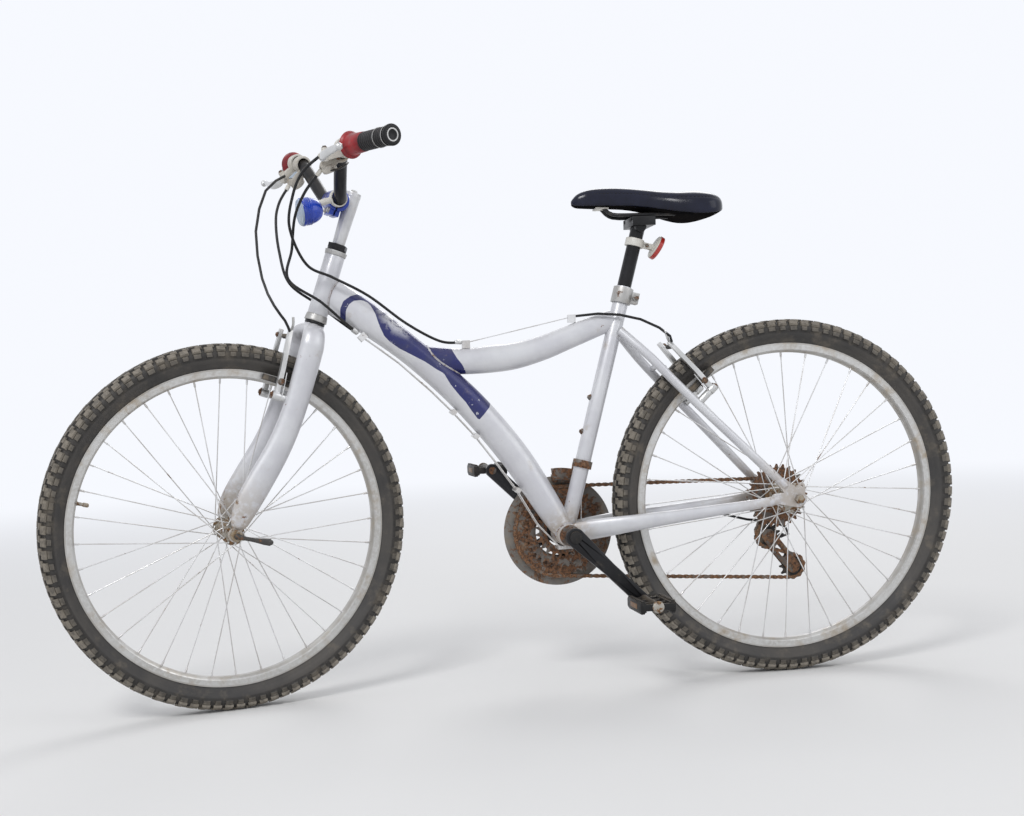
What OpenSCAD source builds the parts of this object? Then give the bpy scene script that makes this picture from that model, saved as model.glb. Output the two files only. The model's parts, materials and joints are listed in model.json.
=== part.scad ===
// Old mountain bicycle with a curved frame, rim brakes and a rusty drivetrain.
// Millimetres, +X forward, +Y left, +Z up, origin on top of the saddle.
// Frame pieces are drawn from the rear axle, steered pieces from the steering axis at axle height.

/* [Output] */
// Node to draw, or all

/* [Layout] */
// Distance between the wheel axles with the steering straight
wheelbase = 1038; // [980:1:1100]
// Head angle from level
head_angle = 69.8; // [66:0.1:74]
// Fork offset ahead of the steering axis
rake = 42; // [30:1:55]
// How far the steering is turned to the left
steer = 15; // [-40:1:40]
// Saddle top ahead of the rear axle
saddle_x = 215; // [150:1:280]
// Saddle top above the rear axle
saddle_z = 563; // [450:1:650]
// Bottom bracket ahead of the rear axle
bracket_x = 421; // [400:1:450]
// Bottom bracket below the rear axle
bracket_drop = 45; // [0:1:60]
// Seat tube angle from level
seat_angle = 74.3; // [70:0.1:76]

/* [Wheels] */
// Tyre outside diameter over the knobs
tyre_od = 660; // [600:1:700]
// Tyre width
tyre_width = 50; // [35:1:60]
// Rim outside diameter
rim_od = 572; // [560:1:590]
// Rim inside diameter at the middle
rim_id = 538; // [520:1:550]
// Rim width
rim_width = 25; // [20:1:32]
// Spokes in each wheel, in fours
spoke_count = 36; // [28:4:40]
// Spoke diameter
spoke_d = 2; // [1.6:0.1:2.6]
// Front hub width over the locknuts
front_old = 100; // [90:1:110]
// Rear hub width over the locknuts
rear_old = 135; // [120:1:140]

/* [Frame] */
// Head tube diameter
head_tube_d = 36; // [32:0.5:50]
// Head tube length
head_tube_l = 108; // [90:1:160]
// Lower end of the head tube along the steering axis
head_tube_z = 412; // [380:1:440]
// Seat tube diameter
seat_tube_d = 28.6; // [28:0.1:36]
// Seat tube length from the bottom bracket
seat_tube_l = 462; // [380:1:520]
// Bottom bracket shell diameter
shell_d = 42; // [38:0.5:46]
// Bottom bracket shell width
shell_w = 68; // [65:1:73]
// Seat post diameter
post_d = 25.4; // [25:0.1:31.6]

/* [Bars] */
// Bar tube diameter
bar_d = 22.2; // [22:0.1:25.4]
// Grip length
grip_l = 118; // [90:1:135]
// Height of the bar clamp along the steering axis
clamp_z = 610; // [560:1:660]
// Bar clamp ahead of the steering axis
clamp_x = 28; // [20:1:120]

/* [Drivetrain] */
// Crank length
crank_l = 170; // [160:2.5:180]
// Left crank direction from forward, turning upward
crank_angle = 225; // [0:1:360]
// Teeth on the three chainrings
ring_teeth = [42, 32, 22];
// Teeth on the sprockets, inner to outer
cog_teeth = [28, 24, 22, 20, 18, 16, 14];
// Distance of the big chainring from the centre plane
chain_line = 55; // [45:0.5:60]
// Chain pitch
pitch = 12.7; // [12.7:0.1:12.7]

/* [Hidden] */
$fn = 48;
fit = 0.05;

axis_x = wheelbase - rake * sin(head_angle);
axis_z = -rake * cos(head_angle);
bracket = [bracket_x, 0, -bracket_drop];
seat_dir = [-cos(seat_angle), 0, sin(seat_angle)];
stay_angle = 46.5;
big_r = pitch / 2 / sin(180 / ring_teeth[0]);
cog_step = 4.5;
cog_first = 32.5;
chain_cog = 5;
cog_r = pitch / 2 / sin(180 / cog_teeth[chain_cog]);
pulley_teeth = 11;
pulley_r = pitch / 2 / sin(180 / pulley_teeth);
guide_pulley = [12, -78];
tension_pulley = [-37, -140];
arm_in = 68;
arm_t = 13;
paint = [0.72, 0.73, 0.76];
black = [0.08, 0.08, 0.09];
alloy = [0.7, 0.7, 0.68];
rust = [0.4, 0.25, 0.15];
blue = [0.05, 0.2, 0.7];

// ---- placing ----
module bike() translate([-saddle_x, 0, -saddle_z]) children();
module on_axis() bike() translate([axis_x, 0, axis_z]) rotate([0, head_angle - 90, 0]) children();
module on_fork() on_axis() rotate([0, 0, steer]) children();
module at_front_hub() on_fork() translate([rake, 0, 0]) children();
module at_bracket() bike() translate(bracket) children();
module on_cranks() at_bracket() rotate([0, -crank_angle, 0]) children();
module up_seat_tube() at_bracket() rotate([0, seat_angle - 90, 0]) children();
module up_stays() bike() rotate([0, 90 - stay_angle, 0]) scale([-1, 1, 1]) children();
module across() rotate([-90, 0, 0]) children();
module both_sides() for (s = [0, 1]) mirror([0, s, 0]) children();

// A solid of a flat X-Z outline, from y0 to y1.
module plate(y0, y1) translate([0, y1, 0]) rotate([90, 0, 0]) linear_extrude(y1 - y0) children();

// A round bar from a to b.
module rod(a, b, r) {
    v = b - a;
    translate(a) rotate([0, acos(v.z / norm(v)), atan2(v.y, v.x)]) cylinder(h = norm(v), r = r);
}

// ---- swept tubes ----
function unit(v) = v / norm(v);
function tangent(p, i) = unit(p[min(i + 1, len(p) - 1)] - p[max(i - 1, 0)]);
function sides(p, s, i = 0, out = []) = i == len(p) ? out :
    let (t = tangent(p, i), n = unit(s - (s * t) * t)) sides(p, n, i + 1, concat(out, [n]));
function ring(c, t, s, ru, rv, n) = let (b = cross(t, s))
    [for (k = [0:n - 1]) c + ru * cos(360 * k / n) * s + rv * sin(360 * k / n) * b];
function walls(m, n) = [for (i = [0:m - 2], k = [0:n - 1], half = [0, 1])
    let (a = i * n, b = a + n, j = (k + 1) % n) half == 0 ? [a + k, b + k, b + j] : [a + k, b + j, a + j]];
function skin(m, n) = concat([[for (k = [0:n - 1]) k]], walls(m, n), [[for (k = [n - 1:-1:0]) (m - 1) * n + k]]);
function spline(a, b, c, d, t) = 0.5 * (2 * b + (c - a) * t + (2 * a - 5 * b + 4 * c - d) * t * t
    + (3 * b - a - 3 * c + d) * t * t * t);
function smooth(p, m) = concat([for (i = [0:len(p) - 2], j = [0:m - 1])
    spline(p[max(i - 1, 0)], p[i], p[i + 1], p[min(i + 2, len(p) - 1)], j / m)], [p[len(p) - 1]]);

// Sweeps an oval along path; ru runs along the side vector s, rv square to it.
module sweep(path, ru, rv, s, n) {
    side = sides(path, s);
    points = [for (i = [0:len(path) - 1]) each ring(path[i], tangent(path, i), side[i], ru[i], rv[i], n)];
    polyhedron(points, skin(len(path), n));
}

// A round cable or wire along hand-picked points.
module cable(points, r, m) {
    path = smooth(points, m);
    radii = [for (p = path) r];
    sweep(path, radii, radii, [0.31, 0.9, 0.3], 8);
}

// Where a point of the steered pieces lies when seen from the rear axle.
function turned(p) = [cos(steer) * p.x - sin(steer) * p.y, sin(steer) * p.x + cos(steer) * p.y, p.z];
function tilted(p) = let (a = head_angle - 90)
    [p.x * cos(a) + p.z * sin(a) + axis_x, p.y, -p.x * sin(a) + p.z * cos(a) + axis_z];
function steered(points) = [for (p = points) tilted(turned(p))];

// ---- frame ----
// x, z, upright radius, side radius
down_line = [[842, 413, 30, 13], [765, 360, 28, 22], [700, 308, 25, 24], [640, 254, 25.5, 24],
    [580, 192, 27, 24], [510, 103, 27, 24], [452, 8, 24.5, 25], [421, -45, 19, 26]];
top_line = [[690, 293, 20, 17], [650, 285, 22, 18], [600, 279, 23, 19], [545, 281, 24.5, 20], [500, 285, 23.5, 19],
    [450, 297, 22, 18], [410, 311, 21, 16], [365, 327, 20, 14], [320, 342, 18, 12]];

module frame_tube(line) {
    rows = smooth(line, 2);
    sweep([for (p = rows) [p[0], 0, p[1]]], [for (p = rows) p[3]], [for (p = rows) p[2]], [0, 1, 0], 28);
}

module head_core(extra) translate([axis_x, 0, axis_z]) rotate([0, head_angle - 90, 0])
    translate([0, 0, head_tube_z - 20]) cylinder(h = head_tube_l + 40, r = head_tube_d / 2 + extra);

module shell_core(extra) translate(bracket) across()
    cylinder(h = shell_w + 2 * extra, r = shell_d / 2 + extra, center = true);

module seat_core(extra) translate(bracket) rotate([0, seat_angle - 90, 0])
    cylinder(h = seat_tube_l + 2 * extra, r = seat_tube_d / 2 + extra);

module head_tube() {
    color(paint) on_axis() translate([0, 0, head_tube_z]) difference() {
        cylinder(h = head_tube_l, d = head_tube_d);
        translate([0, 0, -1]) cylinder(h = head_tube_l + 2, r = 15.2);
    }
}

module down_tube() {
    color(paint) bike() difference() {
        frame_tube(down_line);
        head_core(fit);
        shell_core(fit);
        seat_core(fit);
    }
}

module top_tube() {
    color(paint) bike() difference() {
        frame_tube(top_line);
        frame_tube(down_line);
        seat_core(fit);
    }
}

module seat_tube() {
    color(paint) bike() difference() {
        seat_core(0);
        translate(bracket) rotate([0, seat_angle - 90, 0]) translate([0, 0, 250]) cylinder(h = 300, r = 13.1);
        shell_core(fit);
    }
}

module bottom_bracket_shell() {
    color(paint) at_bracket() across() difference() {
        cylinder(h = shell_w, d = shell_d, center = true);
        cylinder(h = shell_w + 2, r = 17.6, center = true);
    }
}

// x, y, z, side radius, upright radius
chainstay_line = [[36, 70, 1, 5, 8], [70, 65, -5, 7, 9], [120, 59, -10, 8, 10], [220, 51, -20, 8, 12],
    [300, 44, -28, 8, 15], [340, 34, -33, 7.5, 17], [380, 24, -38, 7, 18], [408, 20, -43, 7, 18]];
seatstay_line = [[24, 70, 24, 6, 7], [48, 66, 49, 8, 8], [124, 54, 127, 8, 8], [178, 46, 182, 8, 8],
    [227, 42, 233, 8, 8], [262, 38, 271, 8, 8], [292, 22, 303, 8, 8], [309, 12, 321, 8, 8]];

module stay(line) {
    rows = smooth(line, 2);
    sweep([for (p = rows) [p[0], p[1], p[2]]], [for (p = rows) p[3]], [for (p = rows) p[4]], [0, 1, 0], 20);
}

module chainstay_side() difference() {
    stay(chainstay_line);
    shell_core(fit);
    seat_core(fit);
    frame_tube(down_line);
}

module seatstay_side() difference() {
    stay(seatstay_line);
    seat_core(fit);
    frame_tube(top_line);
}

module chainstays() {
    color(paint) bike() both_sides() chainstay_side();
}

module seatstays() {
    color(paint) bike() both_sides() seatstay_side();
}

dropout_t = 5;
eyelet = [-6, 24];
eyelet_r = 2.1;
hanger = [9, -30];

module dropout_outline() {
    hull() {
        circle(r = 15);
        translate([42, 3]) circle(r = 9);
    }
    hull() {
        circle(r = 15);
        translate([32, 33]) circle(r = 8);
    }
    hull() {
        circle(r = 12);
        translate(eyelet) circle(r = 6);
    }
}

module dropout_side(with_hanger) difference() {
    plate(rear_old / 2, rear_old / 2 + dropout_t) difference() {
        union() {
            dropout_outline();
            if (with_hanger) hull() {
                circle(r = 12);
                translate(hanger) circle(r = 9);
            }
        }
        circle(r = 5.1);
        translate(eyelet) circle(r = eyelet_r);
        translate(hanger) circle(r = 5.1);
    }
    stay(chainstay_line);
    stay(seatstay_line);
}

module rear_dropouts() {
    color(paint) bike() {
        dropout_side(false);
        mirror([0, 1, 0]) dropout_side(true);
    }
}

module rear_axle() {
    color(alloy) bike() across() {
        cylinder(h = rear_old + 34, r = 5, center = true);
        for (s = [-1, 1]) translate([0, 0, s * (rear_old / 2 + dropout_t + 4.6)])
            cylinder(h = 9, r = 8.5, center = true, $fn = 6);
        translate([0, 0, 48]) cylinder(h = rear_old / 2 - 48 - fit, r = 8);
        translate([0, 0, -rear_old / 2 + fit]) cylinder(h = 5, r = 8);
    }
}

// ---- seat ----
module seat_clamp() {
    color(alloy) up_seat_tube() translate([0, 0, seat_tube_l - 30]) difference() {
        union() {
            cylinder(h = 28, d = seat_tube_d + 8);
            translate([-30, -9, 4]) cube([20, 18, 20]);
        }
        translate([0, 0, -1]) cylinder(h = 30, r = seat_tube_d / 2 + fit);
        translate([-40, -1.5, -1]) cube([40, 3, 30]);
        translate([-24, 0, 14]) across() cylinder(h = 40, r = 3, center = true);
    }
    color(alloy) up_seat_tube() translate([-24, 0, seat_tube_l - 16]) across() {
        cylinder(h = 26, r = 2.9, center = true);
        for (s = [-1, 1]) translate([0, 0, s * 11.3]) cylinder(h = 4, r = 5, center = true);
    }
}

post_top = 573;

module seat_post() {
    color(black) up_seat_tube() {
        translate([0, 0, seat_tube_l - 110]) cylinder(h = post_top - seat_tube_l + 110, d = post_d);
        translate([0, 0, post_top - 2]) across() cylinder(h = 40, r = 10, center = true);
        translate([0, 0, post_top + 8]) rotate([0, 90 - seat_angle, 0]) translate([-21, -32, -9]) difference() {
            cube([42, 64, 16]);
            for (s = [10, 54]) translate([-1, s, 12]) rotate([0, 90, 0]) cylinder(h = 50, r = 3.6);
        }
    }
}

// x, half width, top z, skirt z, measured down from the saddle top
saddle_rows = [[171, 7, -13, -21], [166, 15, -6, -25], [150, 20, 2, -28], [125, 22, 5, -30],
    [92, 24, 6, -31], [50, 30, 3, -33], [0, 46, 0, -37], [-32, 63, -4, -41], [-62, 70, -8, -44],
    [-86, 62, -14, -43], [-98, 38, -24, -38]];
saddle_n = 12;
pad_t = 16;

function arch(w, top, skirt, sq) = [for (k = [0:saddle_n]) let (a = 180 * k / saddle_n)
    [w * sign(cos(a)) * pow(abs(cos(a)), sq), skirt + (top - skirt) * pow(sin(a), sq)]];
function saddle_ring(row) = let (out = arch(row[1], row[2], row[3], 0.62),
    in = arch(row[1] * 0.8 - 3, row[2] - min(pad_t, (row[2] - row[3]) * 0.6), row[3], 0.7))
    [for (p = concat(out, [for (k = [saddle_n:-1:0]) in[k]])) [row[0], p.x, p.y]];

// End faces of the saddle, in strips between the outer and the inner arch.
function saddle_cap(at, flip) = [for (k = [0:saddle_n - 1]) let (n = 2 * saddle_n + 2,
    f = [at + k, at + k + 1, at + n - 2 - k, at + n - 1 - k]) flip ? [f[3], f[2], f[1], f[0]] : f];

module saddle() {
    rows = smooth(saddle_rows, 2);
    n = 2 * saddle_n + 2;
    m = len(rows);
    points = [for (r = rows) each saddle_ring(r)];
    color(black) polyhedron(points, concat(saddle_cap(0, false), walls(m, n), saddle_cap((m - 1) * n, true)));
}

rail_y = 22;
rail_r = 3.5;

module saddle_rails() {
    rail = [[122, 8, -17], [113, 9, -27], [102, 13, -35], [80, rail_y, -38], [20, rail_y, -38],
        [-20, rail_y, -38], [-45, 28, -36], [-60, 32, -31]];
    color(alloy) both_sides() cable(rail, rail_r, 2);
}

tail_lean = 16;

module tail_reflector() {
    color([0.7, 0.2, 0.1]) up_seat_tube() translate([0, 0, 543]) {
        difference() {
            union() {
                cylinder(h = 14, r = 17, center = true);
                translate([-40, -7, -6]) cube([28, 14, 12]);
            }
            cylinder(h = 20, r = post_d / 2 + fit, center = true);
        }
        translate([-36, 0, 3]) rotate([0, -90 - tail_lean, 0]) cylinder(h = 12, r = 22);
    }
}

// ---- steering ----
module headset_cups() {
    color(alloy) on_axis() {
        translate([0, 0, head_tube_z - 12 - fit]) difference() {
            cylinder(h = 12, r1 = 20.5, r2 = 19);
            translate([0, 0, -1]) cylinder(h = 14, r = 12.75);
        }
        translate([0, 0, head_tube_z + head_tube_l + fit]) difference() {
            cylinder(h = 8, r1 = 19, r2 = 20);
            translate([0, 0, -1]) cylinder(h = 10, r = 12.75);
        }
    }
}

steerer_top = head_tube_z + head_tube_l + 18;

module headset_nuts() {
    color(alloy) on_fork() {
        translate([0, 0, head_tube_z + head_tube_l + 8.6]) difference() {
            union() {
                cylinder(h = 4, r = 17);
                translate([0, 0, 3.5]) cylinder(h = 8, r = 18, $fn = 6);
            }
            translate([0, 0, -1]) cylinder(h = 20, r = 12.7 + fit);
        }
        translate([0, 0, head_tube_z - 17.2]) difference() {
            cylinder(h = 4.6, r = 18);
            translate([0, 0, -1]) cylinder(h = 8, r = 12.7 + fit);
        }
    }
}

crown_z = head_tube_z - 17.5;

module fork_steerer() {
    color(alloy) on_fork() translate([0, 0, crown_z - 24]) difference() {
        cylinder(h = steerer_top - crown_z + 24, r = 12.7);
        translate([0, 0, 60]) cylinder(h = 200, r = 11.2);
    }
}

// x, side y, z, side radius, fore-and-aft radius
blade_line = [[5, 46, 345, 14.5, 21.5], [4, 46, 300, 14.5, 21.5], [3, 46, 260, 14.5, 21],
    [5, 46, 210, 14.5, 21.5], [12, 46.5, 160, 14.5, 22.5], [25, 48, 105, 13, 23.5], [37, 51, 55, 11, 22],
    [41.5, 53.5, 22, 7, 16], [42, 54, 12, 4, 9]];

// The same for the blades' upper ends, which bend in to the steerer and overlap there.
shoulder_line = [[5, 46, 345, 14.5, 21.5], [6, 45, 360, 14.5, 21], [6, 38, 374, 14, 20],
    [4, 24, 381, 13, 19], [1, 0, 382, 12.5, 18], [0, -8, 382, 12.5, 18]];

module oval(line, extra) {
    rows = smooth(line, 2);
    sweep([for (p = rows) [p[0], p[1], p[2]]], [for (p = rows) p[3] + extra],
        [for (p = rows) p[4] + extra], [0, 1, 0], 24);
}

module blade(extra) oval(blade_line, extra);

module fork_blade() difference() {
    blade(0);
    fork_tips();
}

module fork_tips() plate(front_old / 2, front_old / 2 + 6) difference() {
    union() {
        translate([rake, 0]) circle(r = 13);
        translate([rake - 9, 0]) square([18, 34]);
    }
    translate([rake, 0]) circle(r = 4.6);
}

module fork_blades() {
    color(paint) on_fork() both_sides() fork_blade();
}

module fork_dropouts() {
    color(paint) on_fork() both_sides() fork_tips();
}

module fork_crown() {
    color(paint) on_fork() difference() {
        union() {
            translate([0, 0, crown_z - 18]) cylinder(h = 18, r = 18);
            both_sides() oval(shoulder_line, 0);
        }
        translate([0, 0, crown_z - 60]) cylinder(h = 100, r = 12.7 + fit);
        both_sides() blade(fit);
    }
}

stem_d = 22.2;
stem_top = 634;

module stem() {
    color(alloy) on_fork() difference() {
        union() {
            translate([0, 0, 480]) cylinder(h = stem_top - 484, d = stem_d);
            translate([0, 0, steerer_top + 2]) cylinder(h = stem_top - steerer_top - 2, r1 = 11.1, r2 = 14);
            translate([0, 0, stem_top - 6]) cylinder(h = 6, r1 = 14, r2 = 10);
            translate([0, 0, stem_top - 16]) rotate([0, 106, 0]) cylinder(h = 36, r = 13);
        }
        translate([clamp_x, 0, clamp_z]) across() cylinder(h = 60, r = 19 + fit, center = true);
    }
}

module stem_clamp() {
    color(blue) on_fork() translate([clamp_x, 0, clamp_z]) difference() {
        union() {
            across() cylinder(h = 44, r = 19, center = true);
            translate([-9, -17, -27]) cube([18, 34, 14]);
        }
        across() cylinder(h = 60, r = 12.7 + fit, center = true);
        translate([-1.5, -30, -40]) cube([3, 60, 30]);
    }
}

bar_end = [52, 290, 687];
grip_in = [77, 172, 674];

bar_line = [[clamp_x, 0, clamp_z], [clamp_x, 24, clamp_z], [clamp_x, 30, clamp_z], [38, 50, 618],
    [58, 84, 646], [72, 112, 666], [79, 140, 672], grip_in, [64.5, 231, 680.5], bar_end];
bulge_y = 25;
bar_gap = 0.3;

// The bar, thicker in the stem clamp; extra makes the cutter for what is clamped on it.
module bar_tube(extra) {
    path = smooth(concat([for (k = [len(bar_line) - 1:-1:1]) let (p = bar_line[k]) [p.x, -p.y, p.z]],
        bar_line), 2);
    radii = [for (p = path) (abs(p.y) < bulge_y ? 12.7 : bar_d / 2) + extra];
    sweep(path, radii, radii, [1, 0, 0], 20);
}

module handlebar() {
    color(black) on_fork() bar_tube(0);
}

module grips() {
    color(black) on_fork() both_sides() grip();
}

module grip() {
    v = unit(bar_end - grip_in);
    difference() {
        union() {
            rod(grip_in + v * 2, grip_in + v * (grip_l + 6), 15.5);
            rod(grip_in - v * 3, grip_in + v * 2, 22);
            rod(grip_in + v * (grip_l + 6), grip_in + v * (grip_l + 9), 17);
        }
        bar_tube(bar_gap);
    }
}

lever_at = [79, 140, 672];
lever_path = [[36, 2, -12], [46, 22, -14], [50, 50, -12], [46, 80, -8], [44, 108, -6]];
pod_at = [75, 116, 668];

// How far each side's levers are turned down on the bar: left, right.
lever_tilt = [25, 50];
pod_tilt = [40, 62];

// Puts a left-hand piece on the left and its mirror image on the right.
module on_bar(side) mirror([0, side, 0]) children();

module brake_levers() {
    color(alloy) on_fork() for (s = [0, 1]) on_bar(s) {
        difference() {
            translate(lever_at) rotate([0, lever_tilt[s], 0]) rotate([0, 0, -8]) {
                across() cylinder(h = 16, r = 16, center = true);
                translate([6, -8, -16]) cube([34, 22, 18]);
            }
            bar_tube(bar_gap);
        }
        translate(lever_at) rotate([0, lever_tilt[s], 0]) {
            path = smooth(lever_path, 2);
            sweep(path, [for (p = path) 3.5], [for (p = path) 7], [1, 0, 0], 12);
        }
    }
}

module shifters() {
    color(alloy) on_fork() for (s = [0, 1]) on_bar(s) difference() {
        translate(pod_at) rotate([0, pod_tilt[s], -10]) {
            across() cylinder(h = 16, r = 16, center = true);
            translate([11, -10, -16]) cube([30, 20, 16]);
            translate([28, 0, -23]) cylinder(h = 8, r = 13);
        }
        bar_tube(bar_gap);
    }
}

lamp_at = [75, 34, 573];
lamp_r = 23;
lamp_aim = 118;

// Turns about the lamp's own axis, which points forward and down.
module at_lamp() on_fork() translate(lamp_at) rotate([0, lamp_aim, 0]) children();

module lamp_bowl(extra) rotate_extrude() polygon([[0, -22 - extra], [9, -20.5 - extra],
    [16.5 + extra, -15], [21 + extra, -5], [lamp_r + extra, 7], [lamp_r + extra, 14], [0, 14]]);

module lamp() {
    color(blue) {
        at_lamp() lamp_bowl(0);
        difference() {
            on_fork() hull() {
                translate([35, 34, 612]) across() cylinder(h = 12, r = 15, center = true);
                translate([62, 34, 592]) across() cylinder(h = 12, r = 8, center = true);
            }
            on_fork() bar_tube(bar_gap);
            at_lamp() lamp_bowl(-1);
        }
    }
}

module lamp_lens() {
    color([0.9, 0.95, 1]) at_lamp() translate([0, 0, 14 + fit]) cylinder(h = 7, r1 = lamp_r + 1, r2 = lamp_r - 2);
}

// ---- brakes ----
boss_r = 253;
track_r = 279;
rear_track = 275;

// One rim brake arm on the left, drawn from the axle with the post along z at x = off.
module brake_arm(off) {
    translate([off, 40, boss_r]) rotate([0, 90, 0]) cylinder(h = 14, r = 8, center = true);
    hull() {
        translate([off - 4, 34, boss_r]) cube([8, 12, 10]);
        translate([off - 2, 36, track_r + 12]) cube([8, 10, 10]);
    }
    hull() {
        translate([off - 2, 36, track_r + 12]) cube([8, 10, 10]);
        translate([off + 2, 26, boss_r + 105]) cube([7, 9, 12]);
    }
}

module boss(off, from) rod([from, 40, boss_r], [off - 7.1, 40, boss_r], 7);

module pad(off, z) {
    translate([off - 33, rim_width / 2 + 2.5, z - 5]) cube([64, 10, 10]);
    translate([off - 4, rim_width / 2 + 12.5, z - 4]) cube([8, 16, 8]);
}

front_brake_off = -5;
rear_brake_off = 36;

module front_brake_arms() {
    color(alloy) at_front_hub() both_sides() difference() {
        union() {
            brake_arm(front_brake_off + 4);
            boss(front_brake_off + 4, -24);
        }
        pad(front_brake_off, track_r);
        translate([-rake, 0, 0]) blade(fit);
    }
}

module front_brake_pads() {
    color(black) at_front_hub() both_sides() pad(front_brake_off, track_r);
}

module rear_brake_arms() {
    color(alloy) up_stays() both_sides() difference() {
        union() {
            brake_arm(rear_brake_off);
            boss(rear_brake_off, 0);
        }
        pad(rear_brake_off, rear_track);
        scale([-1, 1, 1]) rotate([0, stay_angle - 90, 0]) stay(seatstay_line);
    }
}

module rear_brake_pads() {
    color(black) up_stays() both_sides() pad(rear_brake_off, rear_track);
}

// ---- wheels ----
module tyre() {
    w = tyre_width / 2;
    r = tyre_od / 2;
    outer = [[282, 10.5], [286.5, 10.8], [290, 13.5], [300, 22], [308, w], [318, w], [326, 19], [r, 10]];
    inner = [[326, 0], [323, 14], [317, 20], [309, 20.5], [301, 17], [291, 9], [282, 7]];
    half = concat([for (k = [len(inner) - 1:-1:1]) [inner[k].x, -inner[k].y]], inner);
    color(black) across() rotate_extrude($fn = 96)
        polygon(concat(outer, [for (k = [len(outer) - 1:-1:0]) [outer[k].x, -outer[k].y]], half));
}

module rim() {
    w = rim_width / 2;
    color(alloy) across() rotate_extrude($fn = 96) polygon([[rim_od / 2, w], [rim_od / 2 - 12, w],
        [rim_id / 2 + 3, w - 4], [rim_id / 2, 4], [rim_id / 2, -4], [rim_id / 2 + 3, 4 - w],
        [rim_od / 2 - 12, -w], [rim_od / 2, -w], [rim_od / 2, 1.5 - w], [280, 1.5 - w],
        [276, 0], [280, w - 1.5], [rim_od / 2, w - 1.5]]);
}

head_gap = 1;

// Crossed spokes between two flanges and the rim.
module spokes(hole_r, flange_left, flange_right) {
    half = spoke_count / 2;
    step = 360 / half;
    r = spoke_d / 2;
    color(alloy) for (side = [0, 1], k = [0:half - 1]) {
        s = k % 2 == 0 ? 1 : -1;
        a = step * (k + side / 2);
        b = a + s * step * 3;
        y = side == 0 ? flange_left : -flange_right;
        out = (side == 0 ? 1 : -1) * s * (1.5 + r + head_gap);
        rod([hole_r * cos(a), y + out, hole_r * sin(a)],
            [(rim_id / 2 - 0.3) * cos(b), (side == 0 ? 2.5 : -2.5), (rim_id / 2 - 0.3) * sin(b)], r, $fn = 8);
    }
}

module front_tyre() at_front_hub() tyre();
module front_rim() at_front_hub() rim();
module front_spokes() at_front_hub() spokes(18, 34, 34);
module rear_tyre() bike() tyre();
module rear_rim() bike() rim();
module rear_spokes() bike() spokes(24, 36, 21);

module front_hub() {
    color(alloy) at_front_hub() across() difference() {
        union() {
            cylinder(h = 92, r = 10, center = true);
            cylinder(h = 76, r = 13, center = true);
            for (s = [-1, 1]) translate([0, 0, s * 34]) cylinder(h = 3, r = 21, center = true);
        }
        cylinder(h = 100, r = 4.55, center = true);
    }
}

module front_axle() {
    half = front_old / 2;
    color(alloy) at_front_hub() across() {
        cylinder(h = front_old + 24, r = 4.5, center = true);
        for (s = [-1, 1]) translate([0, 0, s * (half - 1.6)]) cylinder(h = 3, r = 8, center = true);
        for (s = [-1, 1]) translate([0, 0, s * (half + 12)]) cylinder(h = 11, r = 11, center = true);
    }
    color(alloy) at_front_hub() translate([0, half + 19, 0]) difference() {
        rotate([0, -4, 0]) hull() {
            rotate([90, 0, 0]) cylinder(h = 7, r = 7, center = true);
            translate([-58, 6, 0]) rotate([90, 0, 0]) cylinder(h = 5, r = 9, center = true);
        }
        across() cylinder(h = 14, r = 11 + fit, center = true);
    }
}

module rear_hub() {
    color(alloy) bike() across() difference() {
        union() {
            translate([0, 0, -24]) cylinder(h = 71, r = 14);
            for (y = [36, -21]) translate([0, 0, y]) cylinder(h = 3, r = 28, center = true);
            translate([0, 0, -58]) cylinder(h = 36, r = 17);
        }
        cylinder(h = 140, r = 5.05, center = true);
    }
}

// ---- drivetrain ----
// Toothed outline of n teeth on pitch radius r.
module sprocket(n) {
    r = pitch / 2 / sin(180 / n);
    polygon([for (k = [0:n - 1], q = [[0.1, 3.8], [0.34, -3], [0.66, -3], [0.9, 3.8]])
        let (a = 360 * (k + q[0]) / n) [(r + q[1]) * cos(a), (r + q[1]) * sin(a)]]);
}

module freewheel() {
    color(rust) bike() difference() {
        union() {
            for (k = [0:6]) plate(-cog_first - cog_step * k - 0.9, -cog_first - cog_step * k + 0.9)
                sprocket(cog_teeth[k]);
            across() translate([0, 0, -60.4]) cylinder(h = 29, r = 22);
        }
        across() cylinder(h = 200, r = 17.05, center = true);
    }
}

module crank_spindle() {
    color(rust) at_bracket() across() {
        cylinder(h = 2 * arm_in + 2 * arm_t - 6, r = 8.5, center = true);
    }
}

module bottom_bracket_cups() {
    color(rust) at_bracket() across() for (s = [0, 1]) mirror([0, 0, s]) difference() {
        union() {
            translate([0, 0, shell_w / 2 - 12]) cylinder(h = 12, r = 17.5);
            translate([0, 0, shell_w / 2 + fit]) cylinder(h = 3, r = 19);
        }
        cylinder(h = 200, r = 8.55, center = true);
    }
}

module crank_arm() difference() {
    union() {
        plate(arm_in, arm_in + arm_t) hull() {
            circle(r = 17);
            translate([crank_l * 0.5, 0]) circle(r = 12);
        }
        plate(arm_in, arm_in + arm_t) hull() {
            translate([crank_l * 0.5, 0]) circle(r = 12);
            translate([crank_l, 0]) circle(r = 12.5);
        }
    }
    across() cylinder(h = 400, r = 8.5 + fit, center = true);
    translate([crank_l, 0, 0]) across() cylinder(h = 400, r = 7 + fit, center = true);
}

module left_crank_arm() {
    color(black) on_cranks() crank_arm();
}

ring_gap = 7.5;
ring_t = 2;
ring_bore = [50, 47, 28];
bolt_circles = [55, 34];
bolt_ends = [chain_line - ring_gap - 1, chain_line - 2 * ring_gap - 1];
spider_arms = 5;
spider_in = chain_line + ring_t / 2 + fit;
spider_out = 61;

module on_right_crank() on_cranks() rotate([0, 180, 0]) mirror([0, 1, 0]) children();

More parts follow.
